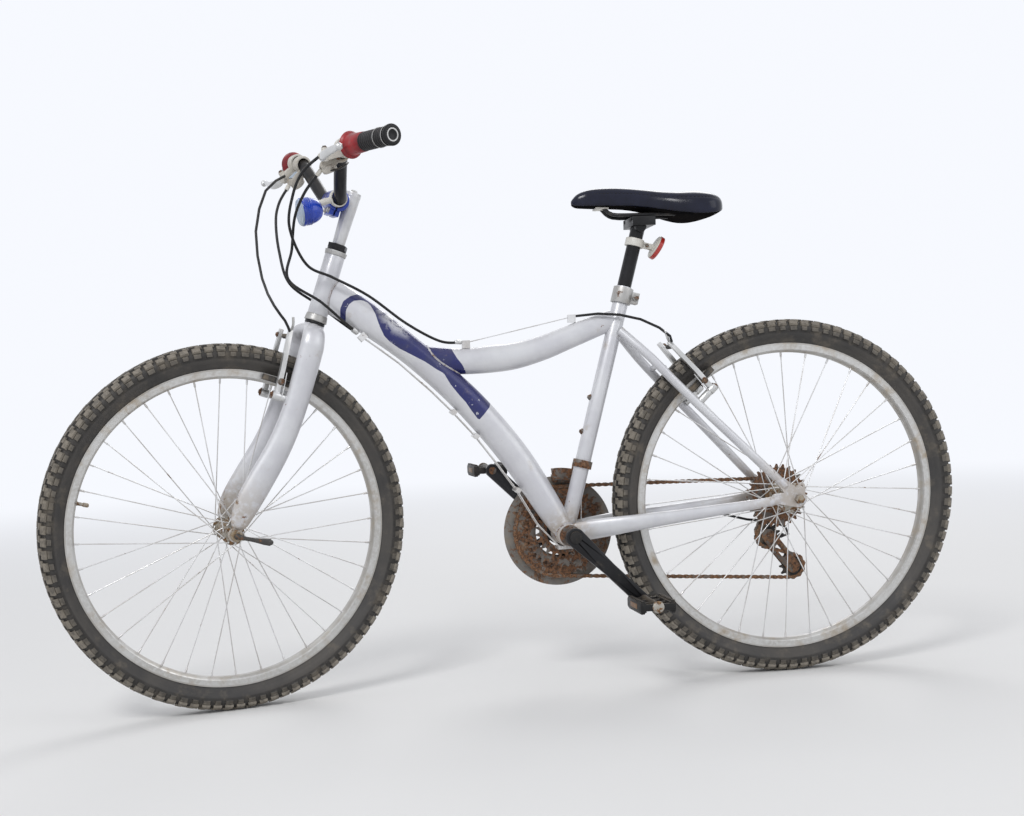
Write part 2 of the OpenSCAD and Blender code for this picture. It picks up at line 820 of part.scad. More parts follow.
module spider_outline() difference() {
    union() {
        circle(r = 24);
        for (k = [1:spider_arms]) rotate(360 * k / spider_arms) translate([0, -7]) square([62, 14]);
    }
    circle(r = 8.5 + fit);
    for (k = [1:spider_arms], c = bolt_circles) rotate(360 * k / spider_arms) translate([c, 0])
        circle(r = 4 + fit, $fn = 24);
}

module right_crank_arm() {
    color(black) on_right_crank() {
        crank_arm();
        plate(spider_in, spider_out) spider_outline();
        plate(spider_out - 1, arm_in + 1) difference() {
            circle(r = 24);
            circle(r = 8.5 + fit);
        }
    }
}

guard_r = 104;
guard_bore = 46;
guard_in = 65.2;
guard_t = 1.6;

// The disc outside the big chainring, on five posts from the spider.
module chain_guard() {
    color(alloy) on_right_crank() {
        plate(guard_in, guard_in + guard_t) difference() {
            circle(r = guard_r, $fn = 96);
            circle(r = guard_bore);
        }
        for (k = [1:spider_arms]) rotate([0, -360 * k / spider_arms, 0])
            translate([bolt_circles[0], spider_out + fit, 0]) across()
                cylinder(h = guard_in - spider_out, r = 5, $fn = 24);
    }
}

module chainrings() {
    color(rust) on_right_crank() {
        for (k = [0:2]) plate(chain_line - ring_gap * k - ring_t / 2, chain_line - ring_gap * k + ring_t / 2)
            difference() {
                sprocket(ring_teeth[k]);
                circle(r = ring_bore[k]);
            }
        for (k = [1:spider_arms], c = [0, 1]) rotate([0, -360 * k / spider_arms, 0])
            translate([bolt_circles[c], bolt_ends[c], 0]) across()
                cylinder(h = spider_out - bolt_ends[c], r = 4, $fn = 24);
    }
}

// The left side is drawn at angle a and the right side, mirrored, half a turn on.
module at_pedal(a) at_bracket() translate([crank_l * cos(a), 0, crank_l * sin(a)]) children();

pedal_in = arm_in + arm_t + 5;
pedal_w = 92;

module pedal_axle() across() {
    translate([0, 0, arm_in]) cylinder(h = arm_t + 2, r = 7);
    translate([0, 0, arm_in + arm_t + 1]) cylinder(h = pedal_w, r = 4.5);
}

module pedal_axles() {
    color(rust) {
        at_pedal(crank_angle) pedal_axle();
        at_pedal(crank_angle + 180) mirror([0, 1, 0]) pedal_axle();
    }
}

module pedal() difference() {
    plate(pedal_in, pedal_in + pedal_w) hull() for (x = [-27, 27], z = [-7, 7]) translate([x, z]) circle(r = 5);
    for (s = [0, 1], x = [-30, 12], y = [8, 50]) mirror([0, 0, s]) translate([x, pedal_in + y, 5])
        cube([18, 34, 20]);
    across() cylinder(h = pedal_in + pedal_w - 4, r = 4.55);
}

module left_pedal() {
    color(black) at_pedal(crank_angle) pedal();
}

module right_pedal() {
    color(black) at_pedal(crank_angle + 180) mirror([0, 1, 0]) pedal();
}

// x, z, pitch radius and turning sense of each wheel the chain runs round
chain_wheels = [[bracket_x, -bracket_drop, big_r, 1], [0, 0, cog_r, 1],
    [guide_pulley.x, guide_pulley.y, pulley_r, -1], [tension_pulley.x, tension_pulley.y, pulley_r, 1]];
chain_h = 4.2;
plate_in = 1.9;
plate_out = 3.1;
roller_start = 46;

function run_angle(a, b) = let (v = [b.x - a.x, b.y - a.y])
    atan2(v.y, v.x) + asin((a[3] * a[2] - b[3] * b[2]) / norm(v));
function wrap(a) = a - 360 * floor(a / 360);
function leave(k, e) = let (w = chain_wheels[k], a = run_angle(w, chain_wheels[(k + 1) % 4]))
    [w.x, w.y] + (w[3] * w[2] + e) * [sin(a), -cos(a)];
function arrive(k, e) = let (w = chain_wheels[k], a = run_angle(chain_wheels[(k + 3) % 4], w))
    [w.x, w.y] + (w[3] * w[2] + e) * [sin(a), -cos(a)];
function chain_loop(e, m) = [for (k = [0:3]) let (w = chain_wheels[k],
    a = run_angle(chain_wheels[(k + 3) % 4], w), b = run_angle(w, chain_wheels[(k + 1) % 4]),
    turn = w[3] * wrap(w[3] * (b - a))) for (j = [0:m]) let (c = a + turn * j / m)
    [w.x, w.y] + (w[3] * w[2] + e) * [sin(c), -cos(c)]];

module chain_band(y0, y1) plate(y0, y1) difference() {
    polygon(chain_loop(chain_h, 18));
    polygon(chain_loop(-chain_h, 18));
}

// Rollers of a straight run from wheel k, kept off the teeth at both ends.
module rollers(k) {
    a = leave(k, 0);
    b = arrive((k + 1) % 4, 0);
    count = floor((norm(b - a) - 2 * roller_start) / pitch);
    for (j = [0:count]) let (p = a + (roller_start + j * pitch) * (b - a) / norm(b - a))
        translate([p.x, 0, p.y]) across() cylinder(h = 2 * plate_in + 0.4, r = 3.6, center = true, $fn = 12);
}

module chain() {
    color(rust) bike() translate([0, -chain_line, 0]) {
        chain_band(plate_in, plate_out);
        chain_band(-plate_out, -plate_in);
        rollers(0);
        rollers(3);
    }
}

module derailleur_cage() difference() {
    hull() {
        translate(guide_pulley) circle(r = 13);
        translate(tension_pulley) circle(r = 13);
    }
    hull() {
        translate(guide_pulley * 0.62 + tension_pulley * 0.38) circle(r = 5);
        translate(guide_pulley * 0.38 + tension_pulley * 0.62) circle(r = 5);
    }
}

module rear_derailleur() {
    color(rust) bike() {
        for (s = [-1, 1]) plate(-chain_line + s * 5 - 1, -chain_line + s * 5 + 1) derailleur_cage();
        for (p = [guide_pulley, tension_pulley]) translate([p.x, -chain_line, p.y]) across()
            cylinder(h = 10, r = 3, center = true);
        plate(-78, -chain_line - 6) translate(guide_pulley) circle(r = 11);
        plate(-80, -rear_old / 2 - dropout_t - fit) hull() {
            translate([12, -42]) circle(r = 8);
            translate([18, -70]) circle(r = 9);
        }
        plate(-86, -rear_old / 2 - dropout_t - fit) hull() {
            translate(hanger) circle(r = 9);
            translate([13, -42]) circle(r = 8);
        }
        plate(-rear_old / 2 - dropout_t - 1, -rear_old / 2 + 1.5) translate(hanger) circle(r = 5);
    }
}

module derailleur_pulleys() {
    color(black) bike() for (p = [guide_pulley, tension_pulley]) plate(-chain_line - 1, -chain_line + 1)
        translate(p) difference() {
            sprocket(pulley_teeth);
            circle(r = 3 + fit);
        }
}

shifter_clamp = 125;

module front_derailleur() {
    color(rust) {
        up_seat_tube() translate([0, 0, shifter_clamp]) difference() {
            union() {
                cylinder(h = 14, r = 18);
                translate([-10, -42, -16]) cube([18, 30, 26]);
            }
            translate([0, 0, -40]) cylinder(h = 80, r = seat_tube_d / 2 + fit);
        }
        at_bracket() {
            for (y = [-chain_line + 4.5, -chain_line - 5.1]) plate(y, y + 1) cage_arc(92.5, 108);
            plate(-chain_line - 5, -chain_line + 5) cage_arc(104, 108);
            plate(-chain_line + 4.5, -40) cage_arc(98, 120);
        }
    }
}

module cage_arc(r0, r1) difference() {
    circle(r = r1);
    circle(r = r0);
    rotate(84) translate([-200, -400]) square([400, 400]);
    rotate(110) translate([-200, 0]) square([400, 400]);
}

// ---- cables ----
wire_r = 1;
housing_r = 2.5;
brake_stops = [[592, 0, 312], [396, 0, 350]];
gear_side = 9;
gear_stop = [778, gear_side, 330];
gear_route = [gear_stop, [715, gear_side, 281], [660, gear_side, 229], [622, gear_side, 189],
    [583, gear_side, 144], [546, gear_side, 93], [511, gear_side, 42], [474, 8, -24], [432, 7, -70]];
guide_points = [3, 4, 6];

module frame_cables() {
    color(black) bike() {
        cable([for (t = [0:2]) brake_stops[0] + (brake_stops[1] - brake_stops[0]) * t / 2], wire_r, 1);
        both_sides() cable(gear_route, wire_r, 1);
        cable([[432, -7, -70], [405, -15, -68], [340, -36, -56], [220, -51, -37], [130, -58, -25]], wire_r, 1);
        cable([[432, 3, -70], [401, -7, -66], [390, -8, -34], [384, -22, 20], [383, -36, 52]], wire_r, 1);
        difference() {
            union() {
                for (p = brake_stops) translate([p.x, 0, p.z - 3]) cube([14, 9, 14], center = true);
                both_sides() translate(gear_stop) rotate([0, 40, 0]) cube([14, 8, 12], center = true);
                for (k = guide_points) translate(gear_route[k]) rotate([0, 50, 0])
                    cube([8, 4 * gear_side, 9], center = true);
            }
            frame_tube(down_line);
            frame_tube(top_line);
        }
        translate([bracket_x + 2, 0, -bracket_drop - shell_d / 2 - 3]) cube([32, 30, 6 - fit], center = true);
        translate([130, -58, -26]) cube([10, 6, 7], center = true);
    }
}

module rear_brake_housing() {
    color(black) bike() {
        cable([[388.2, 0, 351.2], [350, 15, 353], [312, 23, 349], [275, 29, 339], [244, 40, 322], [226, 45, 306],
            [222, 41, 296]], housing_r, 1);
        cable([[123.4, -59, -25], [84, -70, -36], [40, -86, -48], [-6, -90, -54], [-36, -84, -66],
            [-38, -74, -80], [-22, -70, -84], [-2, -70, -80]], housing_r, 1);
    }
}

module brake_front_housing() {
    color(black) bike() cable(concat(steered([[108, 123, 650], [124, 104, 618], [124, 84, 580], [108, 62, 530]]),
        [[872, 47, 456], [826, 32, 433], [766, 28, 402], [700, 16, 356], [640, 5, 321], [600, 0, 313]]),
        housing_r, 1);
}

module gear_front_housings() {
    color(black) bike() {
        cable(concat(steered([[98, 104, 624], [106, 84, 590], [104, 60, 550], [88, 40, 500]]),
            [[905, 62, 430], [850, 33, 392], [812, 20, 358], [786, 9, 337]]), housing_r, 1);
        cable(concat(steered([[92, -104, 616], [102, -88, 585], [104, -64, 550], [88, -44, 500]]),
            [[902, -8, 430], [852, -30, 392], [812, -20, 358], [786, -9, 337]]), housing_r, 1);
    }
}

module front_brake_cable() {
    color(black) on_fork() cable([[98, -123, 640], [128, -104, 600], [134, -60, 520], [114, 2, 440],
        [88, 34, 400], [64, 42, 381], [50, 41, 366]], housing_r, 2);
}

head_tube();
down_tube();
top_tube();
seat_tube();
bottom_bracket_shell();
chainstays();
seatstays();
rear_dropouts();
seat_clamp();
seat_post();
saddle();
saddle_rails();
tail_reflector();
headset_cups();
bottom_bracket_cups();
rear_axle();
rear_brake_arms();
rear_brake_pads();
front_derailleur();
rear_derailleur();
derailleur_pulleys();
chain();
frame_cables();
rear_brake_housing();
brake_front_housing();
gear_front_housings();
fork_steerer();
fork_crown();
fork_blades();
fork_dropouts();
headset_nuts();
stem();
stem_clamp();
handlebar();
grips();
brake_levers();
shifters();
lamp();
lamp_lens();
front_brake_arms();
front_brake_pads();
front_axle();
front_brake_cable();
front_tyre();
front_rim();
front_spokes();
front_hub();
rear_tyre();
rear_rim();
rear_spokes();
rear_hub();
freewheel();
crank_spindle();
left_crank_arm();
right_crank_arm();
chainrings();
chain_guard();
pedal_axles();
left_pedal();
right_pedal();
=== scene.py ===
"""Looks of an old mountain bicycle: painted curved frame, knobby tyres and a rusty drivetrain.

Shapes are given in millimetres in the frame of the part that they belong to, and Layout places them.
"""

import json
import logging
import math
from collections.abc import Iterable, Sequence
from dataclasses import dataclass, field, replace
from enum import Enum

import bmesh
import bpy
from mathutils import Matrix, Vector
from mathutils.bvhtree import BVHTree


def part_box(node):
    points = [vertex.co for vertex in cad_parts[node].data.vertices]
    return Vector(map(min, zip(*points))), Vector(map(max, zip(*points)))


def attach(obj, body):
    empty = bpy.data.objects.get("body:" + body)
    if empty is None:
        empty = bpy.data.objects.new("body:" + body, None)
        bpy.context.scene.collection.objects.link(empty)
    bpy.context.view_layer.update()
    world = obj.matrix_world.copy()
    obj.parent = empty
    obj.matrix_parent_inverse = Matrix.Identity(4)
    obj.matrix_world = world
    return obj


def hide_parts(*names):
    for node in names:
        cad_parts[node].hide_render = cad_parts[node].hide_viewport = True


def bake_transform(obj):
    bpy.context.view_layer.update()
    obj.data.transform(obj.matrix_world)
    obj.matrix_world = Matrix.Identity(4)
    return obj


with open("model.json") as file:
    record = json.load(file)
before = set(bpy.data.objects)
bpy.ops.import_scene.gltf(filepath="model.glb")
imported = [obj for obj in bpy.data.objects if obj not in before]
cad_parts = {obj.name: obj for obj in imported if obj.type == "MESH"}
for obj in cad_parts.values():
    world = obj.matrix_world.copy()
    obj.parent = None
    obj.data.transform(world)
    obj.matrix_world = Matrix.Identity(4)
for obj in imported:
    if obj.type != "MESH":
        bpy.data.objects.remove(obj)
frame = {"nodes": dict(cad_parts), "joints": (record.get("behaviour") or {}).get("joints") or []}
log = logging.getLogger("bicycle")

Colour = tuple[float, float, float]
Pair = tuple[float, float]
Triple = tuple[float, float, float]
MM = 0.001


class Body(Enum):
    """The moving bodies that the dressed pieces ride on."""

    FRAME = "frame"
    FORK = "fork"
    FRONT_WHEEL = "front_wheel"
    REAR_WHEEL = "rear_wheel"
    CRANKSET = "crankset"
    LEFT_PEDAL = "left_pedal"
    RIGHT_PEDAL = "right_pedal"


# ---- materials ----


class Graph:
    """The node tree of one material, with short calls for the nodes that the finishes use."""

    def __init__(self, name: str) -> None:
        """Makes an empty material with a shader and an output.

        Args:
            name: The material's name.
        """
        self.material = bpy.data.materials.new(name)
        self.material.use_nodes = True
        self.tree = self.material.node_tree
        self.tree.nodes.clear()
        output = self.tree.nodes.new("ShaderNodeOutputMaterial")
        self.shader = self.tree.nodes.new("ShaderNodeBsdfPrincipled")
        self.tree.links.new(self.shader.outputs[0], output.inputs["Surface"])
        self.place = self.tree.nodes.new("ShaderNodeTexCoord").outputs["Object"]

    def put(self, socket: bpy.types.NodeSocket, value: object) -> None:
        """Links a socket to another, or sets its value.

        Args:
            socket: The input to fill.
            value: An output socket, a number or a colour.
        """
        if isinstance(value, bpy.types.NodeSocket):
            self.tree.links.new(value, socket)
        elif isinstance(value, tuple) and len(value) == 3 and socket.type == "RGBA":
            socket.default_value = (*value, 1.0)
        else:
            socket.default_value = value

    def noise(self, scale: float, detail: float = 5.0, rough: float = 0.6,
              twist: float = 0.0) -> bpy.types.NodeSocket:
        """Cloudy noise, centred on a half.

        Args:
            scale: Blotches in a metre.
            detail: Octaves.
            rough: Strength of the finer octaves.
            twist: How far the pattern is pulled about.

        Returns:
            The noise value.
        """
        node = self.tree.nodes.new("ShaderNodeTexNoise")
        self.put(node.inputs["Vector"], self.place)
        for key, value in (("Scale", scale), ("Detail", detail), ("Roughness", rough), ("Distortion", twist)):
            node.inputs[key].default_value = value
        return node.outputs["Fac"]

    def math(self, kind: str, a: object, b: object = 0.0) -> bpy.types.NodeSocket:
        """One Math node, clamped.

        Args:
            kind: The operation.
            a: First value or socket.
            b: Second value or socket.

        Returns:
            The result.
        """
        node = self.tree.nodes.new("ShaderNodeMath")
        node.operation = kind
        node.use_clamp = True
        self.put(node.inputs[0], a)
        self.put(node.inputs[1], b)
        return node.outputs[0]

    def step(self, value: bpy.types.NodeSocket, low: float, high: float,
             to: Pair = (0.0, 1.0)) -> bpy.types.NodeSocket:
        """A soft step between two levels.

        Args:
            value: What is compared.
            low: Where the step starts.
            high: Where it ends.
            to: The values before and after.

        Returns:
            The stepped value.
        """
        node = self.tree.nodes.new("ShaderNodeMapRange")
        node.interpolation_type = "SMOOTHSTEP"
        self.put(node.inputs["Value"], value)
        for key, number in (("From Min", low), ("From Max", high), ("To Min", to[0]), ("To Max", to[1])):
            node.inputs[key].default_value = number
        return node.outputs["Result"]

    def mix(self, share: object, a: object, b: object) -> bpy.types.NodeSocket:
        """Colour a turning into colour b as share goes from 0 to 1."""
        node = self.tree.nodes.new("ShaderNodeMix")
        node.data_type = "RGBA"
        self.put(node.inputs["Factor"], share)
        self.put(node.inputs[6], a)
        self.put(node.inputs[7], b)
        return node.outputs[2]

    def most(self, *values: bpy.types.NodeSocket | None) -> bpy.types.NodeSocket | None:
        """The greatest of some values, leaving out each None, or None where nothing is left."""
        found = None
        for value in values:
            if value is not None:
                found = value if found is None else self.math("MAXIMUM", found, value)
        return found

    def lerp(self, share: object, a: float, b: float) -> bpy.types.NodeSocket:
        """A number going from a to b with share."""
        node = self.tree.nodes.new("ShaderNodeMapRange")
        self.put(node.inputs["Value"], share)
        node.inputs["To Min"].default_value = a
        node.inputs["To Max"].default_value = b
        return node.outputs["Result"]

    def attribute(self, name: str) -> bpy.types.NodeSocket:
        """A number stored on the mesh's points."""
        node = self.tree.nodes.new("ShaderNodeAttribute")
        node.attribute_name = name
        return node.outputs["Fac"]

    def upward(self, low: float, high: float) -> bpy.types.NodeSocket:
        """1 on faces that look up and 0 on those that look down."""
        node = self.tree.nodes.new("ShaderNodeNewGeometry")
        split = self.tree.nodes.new("ShaderNodeSeparateXYZ")
        self.tree.links.new(node.outputs["Normal"], split.inputs[0])
        return self.step(split.outputs["Z"], low, high)

    def near(self, centre: Triple, radius: float) -> bpy.types.NodeSocket:
        """1 at a place, falling to 0 at radius, both in metres.

        Args:
            centre: The place in the part's frame.
            radius: How far it reaches.

        Returns:
            The closeness.
        """
        node = self.tree.nodes.new("ShaderNodeVectorMath")
        node.operation = "DISTANCE"
        self.put(node.inputs[0], self.place)
        node.inputs[1].default_value = centre
        return self.step(node.outputs["Value"], 0.15 * radius, radius, (1.0, 0.0))

    def off_ring(self, centre: Triple, axis: Triple, radius: float) -> bpy.types.NodeSocket:
        """Distance to a circle in metres, for surfaces that go round a wheel.

        Args:
            centre: The circle's centre.
            axis: Its axis.
            radius: Its radius.

        Returns:
            The distance.
        """
        nodes = [self.tree.nodes.new("ShaderNodeVectorMath") for _ in range(3)]
        for node, kind in zip(nodes, ("SUBTRACT", "DOT_PRODUCT", "LENGTH")):
            node.operation = kind
        self.put(nodes[0].inputs[0], self.place)
        nodes[0].inputs[1].default_value = centre
        for node in nodes[1:]:
            self.put(node.inputs[0], nodes[0].outputs[0])
        nodes[1].inputs[1].default_value = axis
        aside = self.squared(nodes[1].outputs["Value"])
        far = self.math("SQRT", self.math("SUBTRACT", self.squared(nodes[2].outputs["Value"]), aside))
        gap = self.squared(self.raw("SUBTRACT", far, radius))
        return self.math("SQRT", self.math("ADD", gap, aside))

    def raw(self, kind: str, a: object, b: object) -> bpy.types.NodeSocket:
        """One Math node that isn't clamped."""
        out = self.math(kind, a, b)
        out.node.use_clamp = False
        return out

    def squared(self, value: bpy.types.NodeSocket) -> bpy.types.NodeSocket:
        """A value times itself."""
        return self.raw("MULTIPLY", value, value)

    def seen(self) -> bpy.types.NodeSocket:
        """1 for rays from the camera, from gloss and through glass, and 0 for the light itself."""
        rays = self.tree.nodes.new("ShaderNodeLightPath")
        gloss = self.math("MAXIMUM", rays.outputs["Is Glossy Ray"], rays.outputs["Is Transmission Ray"])
        return self.math("MAXIMUM", rays.outputs["Is Camera Ray"], gloss)

    def bump(self, height: bpy.types.NodeSocket, strength: float, distance: float,
             under: bpy.types.NodeSocket | None = None) -> bpy.types.NodeSocket:
        """Bumps the surface.

        Args:
            height: The pattern.
            strength: How strongly it shows.
            distance: Its depth in metres.
            under: Another bump to lie on.

        Returns:
            The bent normal.
        """
        node = self.tree.nodes.new("ShaderNodeBump")
        node.inputs["Strength"].default_value = strength
        node.inputs["Distance"].default_value = distance
        self.put(node.inputs["Height"], height)
        if under is not None:
            self.put(node.inputs["Normal"], under)
        return node.outputs["Normal"]


# rust and dust: how softly they end, how rough they are and how much they hide, and depths in metres
RUST_EDGE = 0.05
DUST_EDGE = 0.28
GRIME_LIFT = 0.12
RUST_ROUGH = 0.82
DUST_ROUGH = 0.85
DUST_COVER = 0.88
METAL_LEFT = 0.12
COAT_ROUGH = 0.12
GRAIN_M = 0.0004
RUST_M = 0.0008


@dataclass(frozen=True)
class Finish:
    """A weathered surface: two tones, rust that breaks through, dust on top, and fine bumps."""

    name: str
    slot: str
    tone: Colour
    shade: Colour
    metal: float = 0.0
    rough: Pair = (0.4, 0.6)
    coat: float = 0.0
    shine: float = 0.5
    blotch: float = 14.0
    rust_tone: Colour = (0.20, 0.085, 0.035)
    rust_dark: Colour = (0.07, 0.035, 0.02)
    rust_from: float = 1.0
    rust_scale: float = 45.0
    dust_tone: Colour = (0.30, 0.24, 0.17)
    dust_from: float = 1.0
    dust_top: float = 0.0
    grain: float = 500.0
    depth: float = 0.15
    grimy: tuple[tuple[Triple, float], ...] = ()

    def material(self) -> bpy.types.Material:
        """The finish's material, made the first time that it is asked for."""
        found = bpy.data.materials.get(self.name)
        return found or self.build()

    def ground(self, g: Graph) -> bpy.types.NodeSocket:
        """The clean surface's colour before rust and dust."""
        return g.mix(g.step(g.noise(self.blotch), 0.35, 0.65), self.tone, self.shade)

    def build(self) -> bpy.types.Material:
        """Builds the node tree.

        Returns:
            The new material.
        """
        g = Graph(self.name)
        colour = self.ground(g)
        rough = g.lerp(g.noise(self.blotch * 2.5, 3.0), *self.rough)
        grime = g.most(*(g.near(centre, radius) for centre, radius in self.grimy))
        rust = self.rusted(g, grime)
        dust = self.dusted(g, grime)
        if rust is not None:
            patches = g.step(g.noise(self.rust_scale * 4.0, 6.0), 0.38, 0.6)
            colour = g.mix(rust, colour, g.mix(patches, self.rust_dark, self.rust_tone))
            rough = g.math("MAXIMUM", rough, g.math("MULTIPLY", rust, RUST_ROUGH))
        if dust is not None:
            colour = g.mix(g.math("MULTIPLY", dust, DUST_COVER), colour, self.dust_tone)
            rough = g.math("MAXIMUM", rough, g.math("MULTIPLY", dust, DUST_ROUGH))
        g.put(g.shader.inputs["Base Color"], colour)
        g.put(g.shader.inputs["Roughness"], rough)
        metal: object = self.metal
        cover = g.most(rust, dust)
        if self.metal and cover is not None:
            metal = g.lerp(cover, self.metal, self.metal * METAL_LEFT)
        g.put(g.shader.inputs["Metallic"], metal)
        g.shader.inputs["Specular IOR Level"].default_value = self.shine
        if self.coat:
            g.put(g.shader.inputs["Coat Weight"], self.coat)
            g.put(g.shader.inputs["Coat Roughness"], COAT_ROUGH)
        normal = g.bump(g.noise(self.grain, 3.0), self.depth, GRAIN_M)
        if rust is not None:
            pits = g.math("MULTIPLY", rust, g.noise(self.rust_scale * 9.0, 4.0))
            normal = g.bump(pits, 0.5, RUST_M, normal)
        g.put(g.shader.inputs["Normal"], normal)
        self.special(g)
        return g.material

    def rusted(self, g: Graph, grime: bpy.types.NodeSocket | None) -> bpy.types.NodeSocket | None:
        """Where rust breaks through.

        Args:
            g: The material's nodes.
            grime: Where grime gathers and there is more rust, or None.

        Returns:
            1 where there is rust and 0 elsewhere, or None for a finish that doesn't rust.
        """
        if self.rust_from >= 1.0:
            return None
        pattern = g.noise(self.rust_scale, 9.0, 0.68, 0.4)
        if grime is not None:
            pattern = g.math("ADD", pattern, g.math("MULTIPLY", grime, GRIME_LIFT))
        return g.step(pattern, self.rust_from, self.rust_from + RUST_EDGE)

    def dusted(self, g: Graph, grime: bpy.types.NodeSocket | None) -> bpy.types.NodeSocket | None:
        """Where dust lies: in clouds, on faces that look up and in grimy places.

        Args:
            g: The material's nodes.
            grime: Where grime gathers, or None.

        Returns:
            How much dust there is, or None for a clean finish.
        """
        clouds = lying = stuck = None
        if self.dust_from < 1.0:
            clouds = g.step(g.noise(30.0, 8.0, 0.62), self.dust_from, self.dust_from + DUST_EDGE)
        if self.dust_top:
            patchy = g.step(g.noise(70.0, 6.0), 0.25, 0.6, (0.0, self.dust_top))
            lying = g.math("MULTIPLY", g.upward(0.15, 0.95), patchy)
        if grime is not None:
            stuck = g.math("MULTIPLY", grime, g.step(g.noise(90.0, 7.0), 0.3, 0.55))
        return g.most(clouds, lying, stuck)

    def special(self, g: Graph) -> None:
        """Nothing more for a plain finish; others add to it."""


@dataclass(frozen=True)
class Graphic(Finish):
    """The frame's paint with a coloured band, from a distance to its edge stored on the mesh; chips and a
    painted highlight clear the band to the silver.
    """

    band_tone: Colour = (0.006, 0.010, 0.11)
    band_shade: Colour = (0.016, 0.02, 0.10)

    def ground(self, g: Graph) -> bpy.types.NodeSocket:
        """The paint's colour with the band over it."""
        paint = super().ground(g)
        band = g.mix(g.step(g.noise(24.0), 0.4, 0.62), self.band_tone, self.band_shade)
        ragged = g.math("MULTIPLY", g.noise(260.0, 4.0), 0.5)
        edge = g.attribute("band")
        inside = g.step(g.math("ADD", edge, g.math("MULTIPLY", ragged, 0.04)), 0.5, 0.53)
        flaked = g.step(g.noise(55.0, 8.0, 0.7), 0.63, 0.66)
        # Painted highlight: a ragged pale patch on the down tube's top, where the band is cleared to the
        # silver to stand for glare.
        glare_cleared = g.math("MULTIPLY", g.attribute("glare"), g.step(g.noise(75.0, 6.0, 0.7), 0.4, 0.52))
        bare = g.math("MAXIMUM", flaked, glare_cleared)
        return g.mix(g.math("SUBTRACT", inside, bare), paint, band)


@dataclass(frozen=True)
class Lens(Finish):
    """Clear moulded plastic, a little cloudy with age."""

    def special(self, g: Graph) -> None:
        """Lets some light through the plastic."""
        g.shader.inputs["Transmission Weight"].default_value = 0.35
        g.shader.inputs["IOR"].default_value = 1.46


@dataclass(frozen=True)
class Track(Finish):
    """A rim's alloy with a brake track rubbed bright round it, between two radii in metres."""

    centre: Triple = (0.0, 0.0, 0.0)
    rubbed: Pair = (0.272, 0.284)
    soft: float = 0.001
    bare: Colour = (0.62, 0.62, 0.61)

    def ground(self, g: Graph) -> bpy.types.NodeSocket:
        """Dull alloy, brighter on the track."""
        plain = super().ground(g)
        node = g.tree.nodes.new("ShaderNodeVectorMath")
        node.operation = "DISTANCE"
        g.put(node.inputs[0], g.place)
        node.inputs[1].default_value = self.centre
        r = node.outputs["Value"]
        low, high = self.rubbed
        bright = g.math("MULTIPLY", g.step(r, low, low + self.soft),
                        g.step(r, high - self.soft, high, (1.0, 0.0)))
        streaks = g.step(g.noise(160.0, 4.0), 0.3, 0.7, (0.35, 0.9))
        return g.mix(g.math("MULTIPLY", bright, streaks), plain, self.bare)


@dataclass(frozen=True)
class Tyre(Finish):
    """Old rubber: black at the bead, painted shade in the grooves and on the knobs' sides, grey on the flank,
    and tan dust with a painted highlight on the tops of the knobs.
    """

    centre: Triple = (0.0, 0.0, 0.0)
    axis: Triple = (0.0, 1.0, 0.0)
    core: float = 0.304
    grooves: Pair = (0.0212, 0.0222)
    knob_tops: Pair = (0.0248, 0.0266)
    dust_and_highlight_tone: Colour = (0.21, 0.185, 0.15)
    bead_and_shade_tone: Colour = (0.018, 0.016, 0.014)

    def ground(self, g: Graph) -> bpy.types.NodeSocket:
        """The rubber's colour by its distance from the middle of the tyre's section."""
        flank = super().ground(g)
        off = g.off_ring(self.centre, self.axis, self.core)
        # Painted shade: near black on the knobs' sides and between the knobs, also covering the dark rubber
        # at the bead, in uneven patches.
        uneven_shade = g.step(g.noise(60.0, 5.0), 0.35, 0.6, (0.5, 1.0))
        groove = g.math("MULTIPLY", g.step(off, *self.grooves), uneven_shade)
        colour = g.mix(groove, flank, self.bead_and_shade_tone)
        # Knob tops: tan dust with a painted highlight, in patches.
        worn = g.step(g.noise(110.0, 6.0), 0.3, 0.6, (0.4, 1.0))
        top = g.math("MULTIPLY", g.step(off, *self.knob_tops), worn)
        return g.mix(top, colour, self.dust_and_highlight_tone)


SILVER = (0.64, 0.645, 0.665)
SILVER_SHADE = (0.565, 0.565, 0.595)
DUST = (0.34, 0.27, 0.185)
HUB_GRIME = (0.27, 0.20, 0.12)


# ---- shapes ----


@dataclass
class Shape:
    """Points and faces in millimetres, gathered before they become a mesh."""

    points: list[Vector] = field(default_factory=list)
    faces: list[tuple[int, ...]] = field(default_factory=list)

    def add(self, points: Iterable[Sequence[float]], faces: Iterable[Sequence[int]]) -> "Shape":
        """Adds points and the faces between them.

        Args:
            points: New points.
            faces: Faces that count from the first new point.

        Returns:
            This shape.
        """
        base = len(self.points)
        self.points += [Vector(p) for p in points]
        self.faces += [tuple(base + i for i in f) for f in faces]
        return self

    def join(self, *others: "Shape") -> "Shape":
        """Adds other shapes to this one and returns it."""
        for other in others:
            self.add(other.points, other.faces)
        return self

    def at(self, matrix: Matrix) -> "Shape":
        """A moved copy."""
        return Shape([matrix @ p for p in self.points], list(self.faces))


def turn(axis: str, degrees: float) -> Matrix:
    """A rotation about X, Y or Z."""
    return Matrix.Rotation(math.radians(degrees), 4, axis)


def shift(x: float, y: float, z: float) -> Matrix:
    """A move."""
    return Matrix.Translation((x, y, z))


MIRROR = Matrix.Diagonal((1.0, -1.0, 1.0, 1.0))
ACROSS = turn("X", -90.0)


def polar(r: float, degrees: float) -> Pair:
    """A flat point at radius r."""
    return r * math.cos(math.radians(degrees)), r * math.sin(math.radians(degrees))


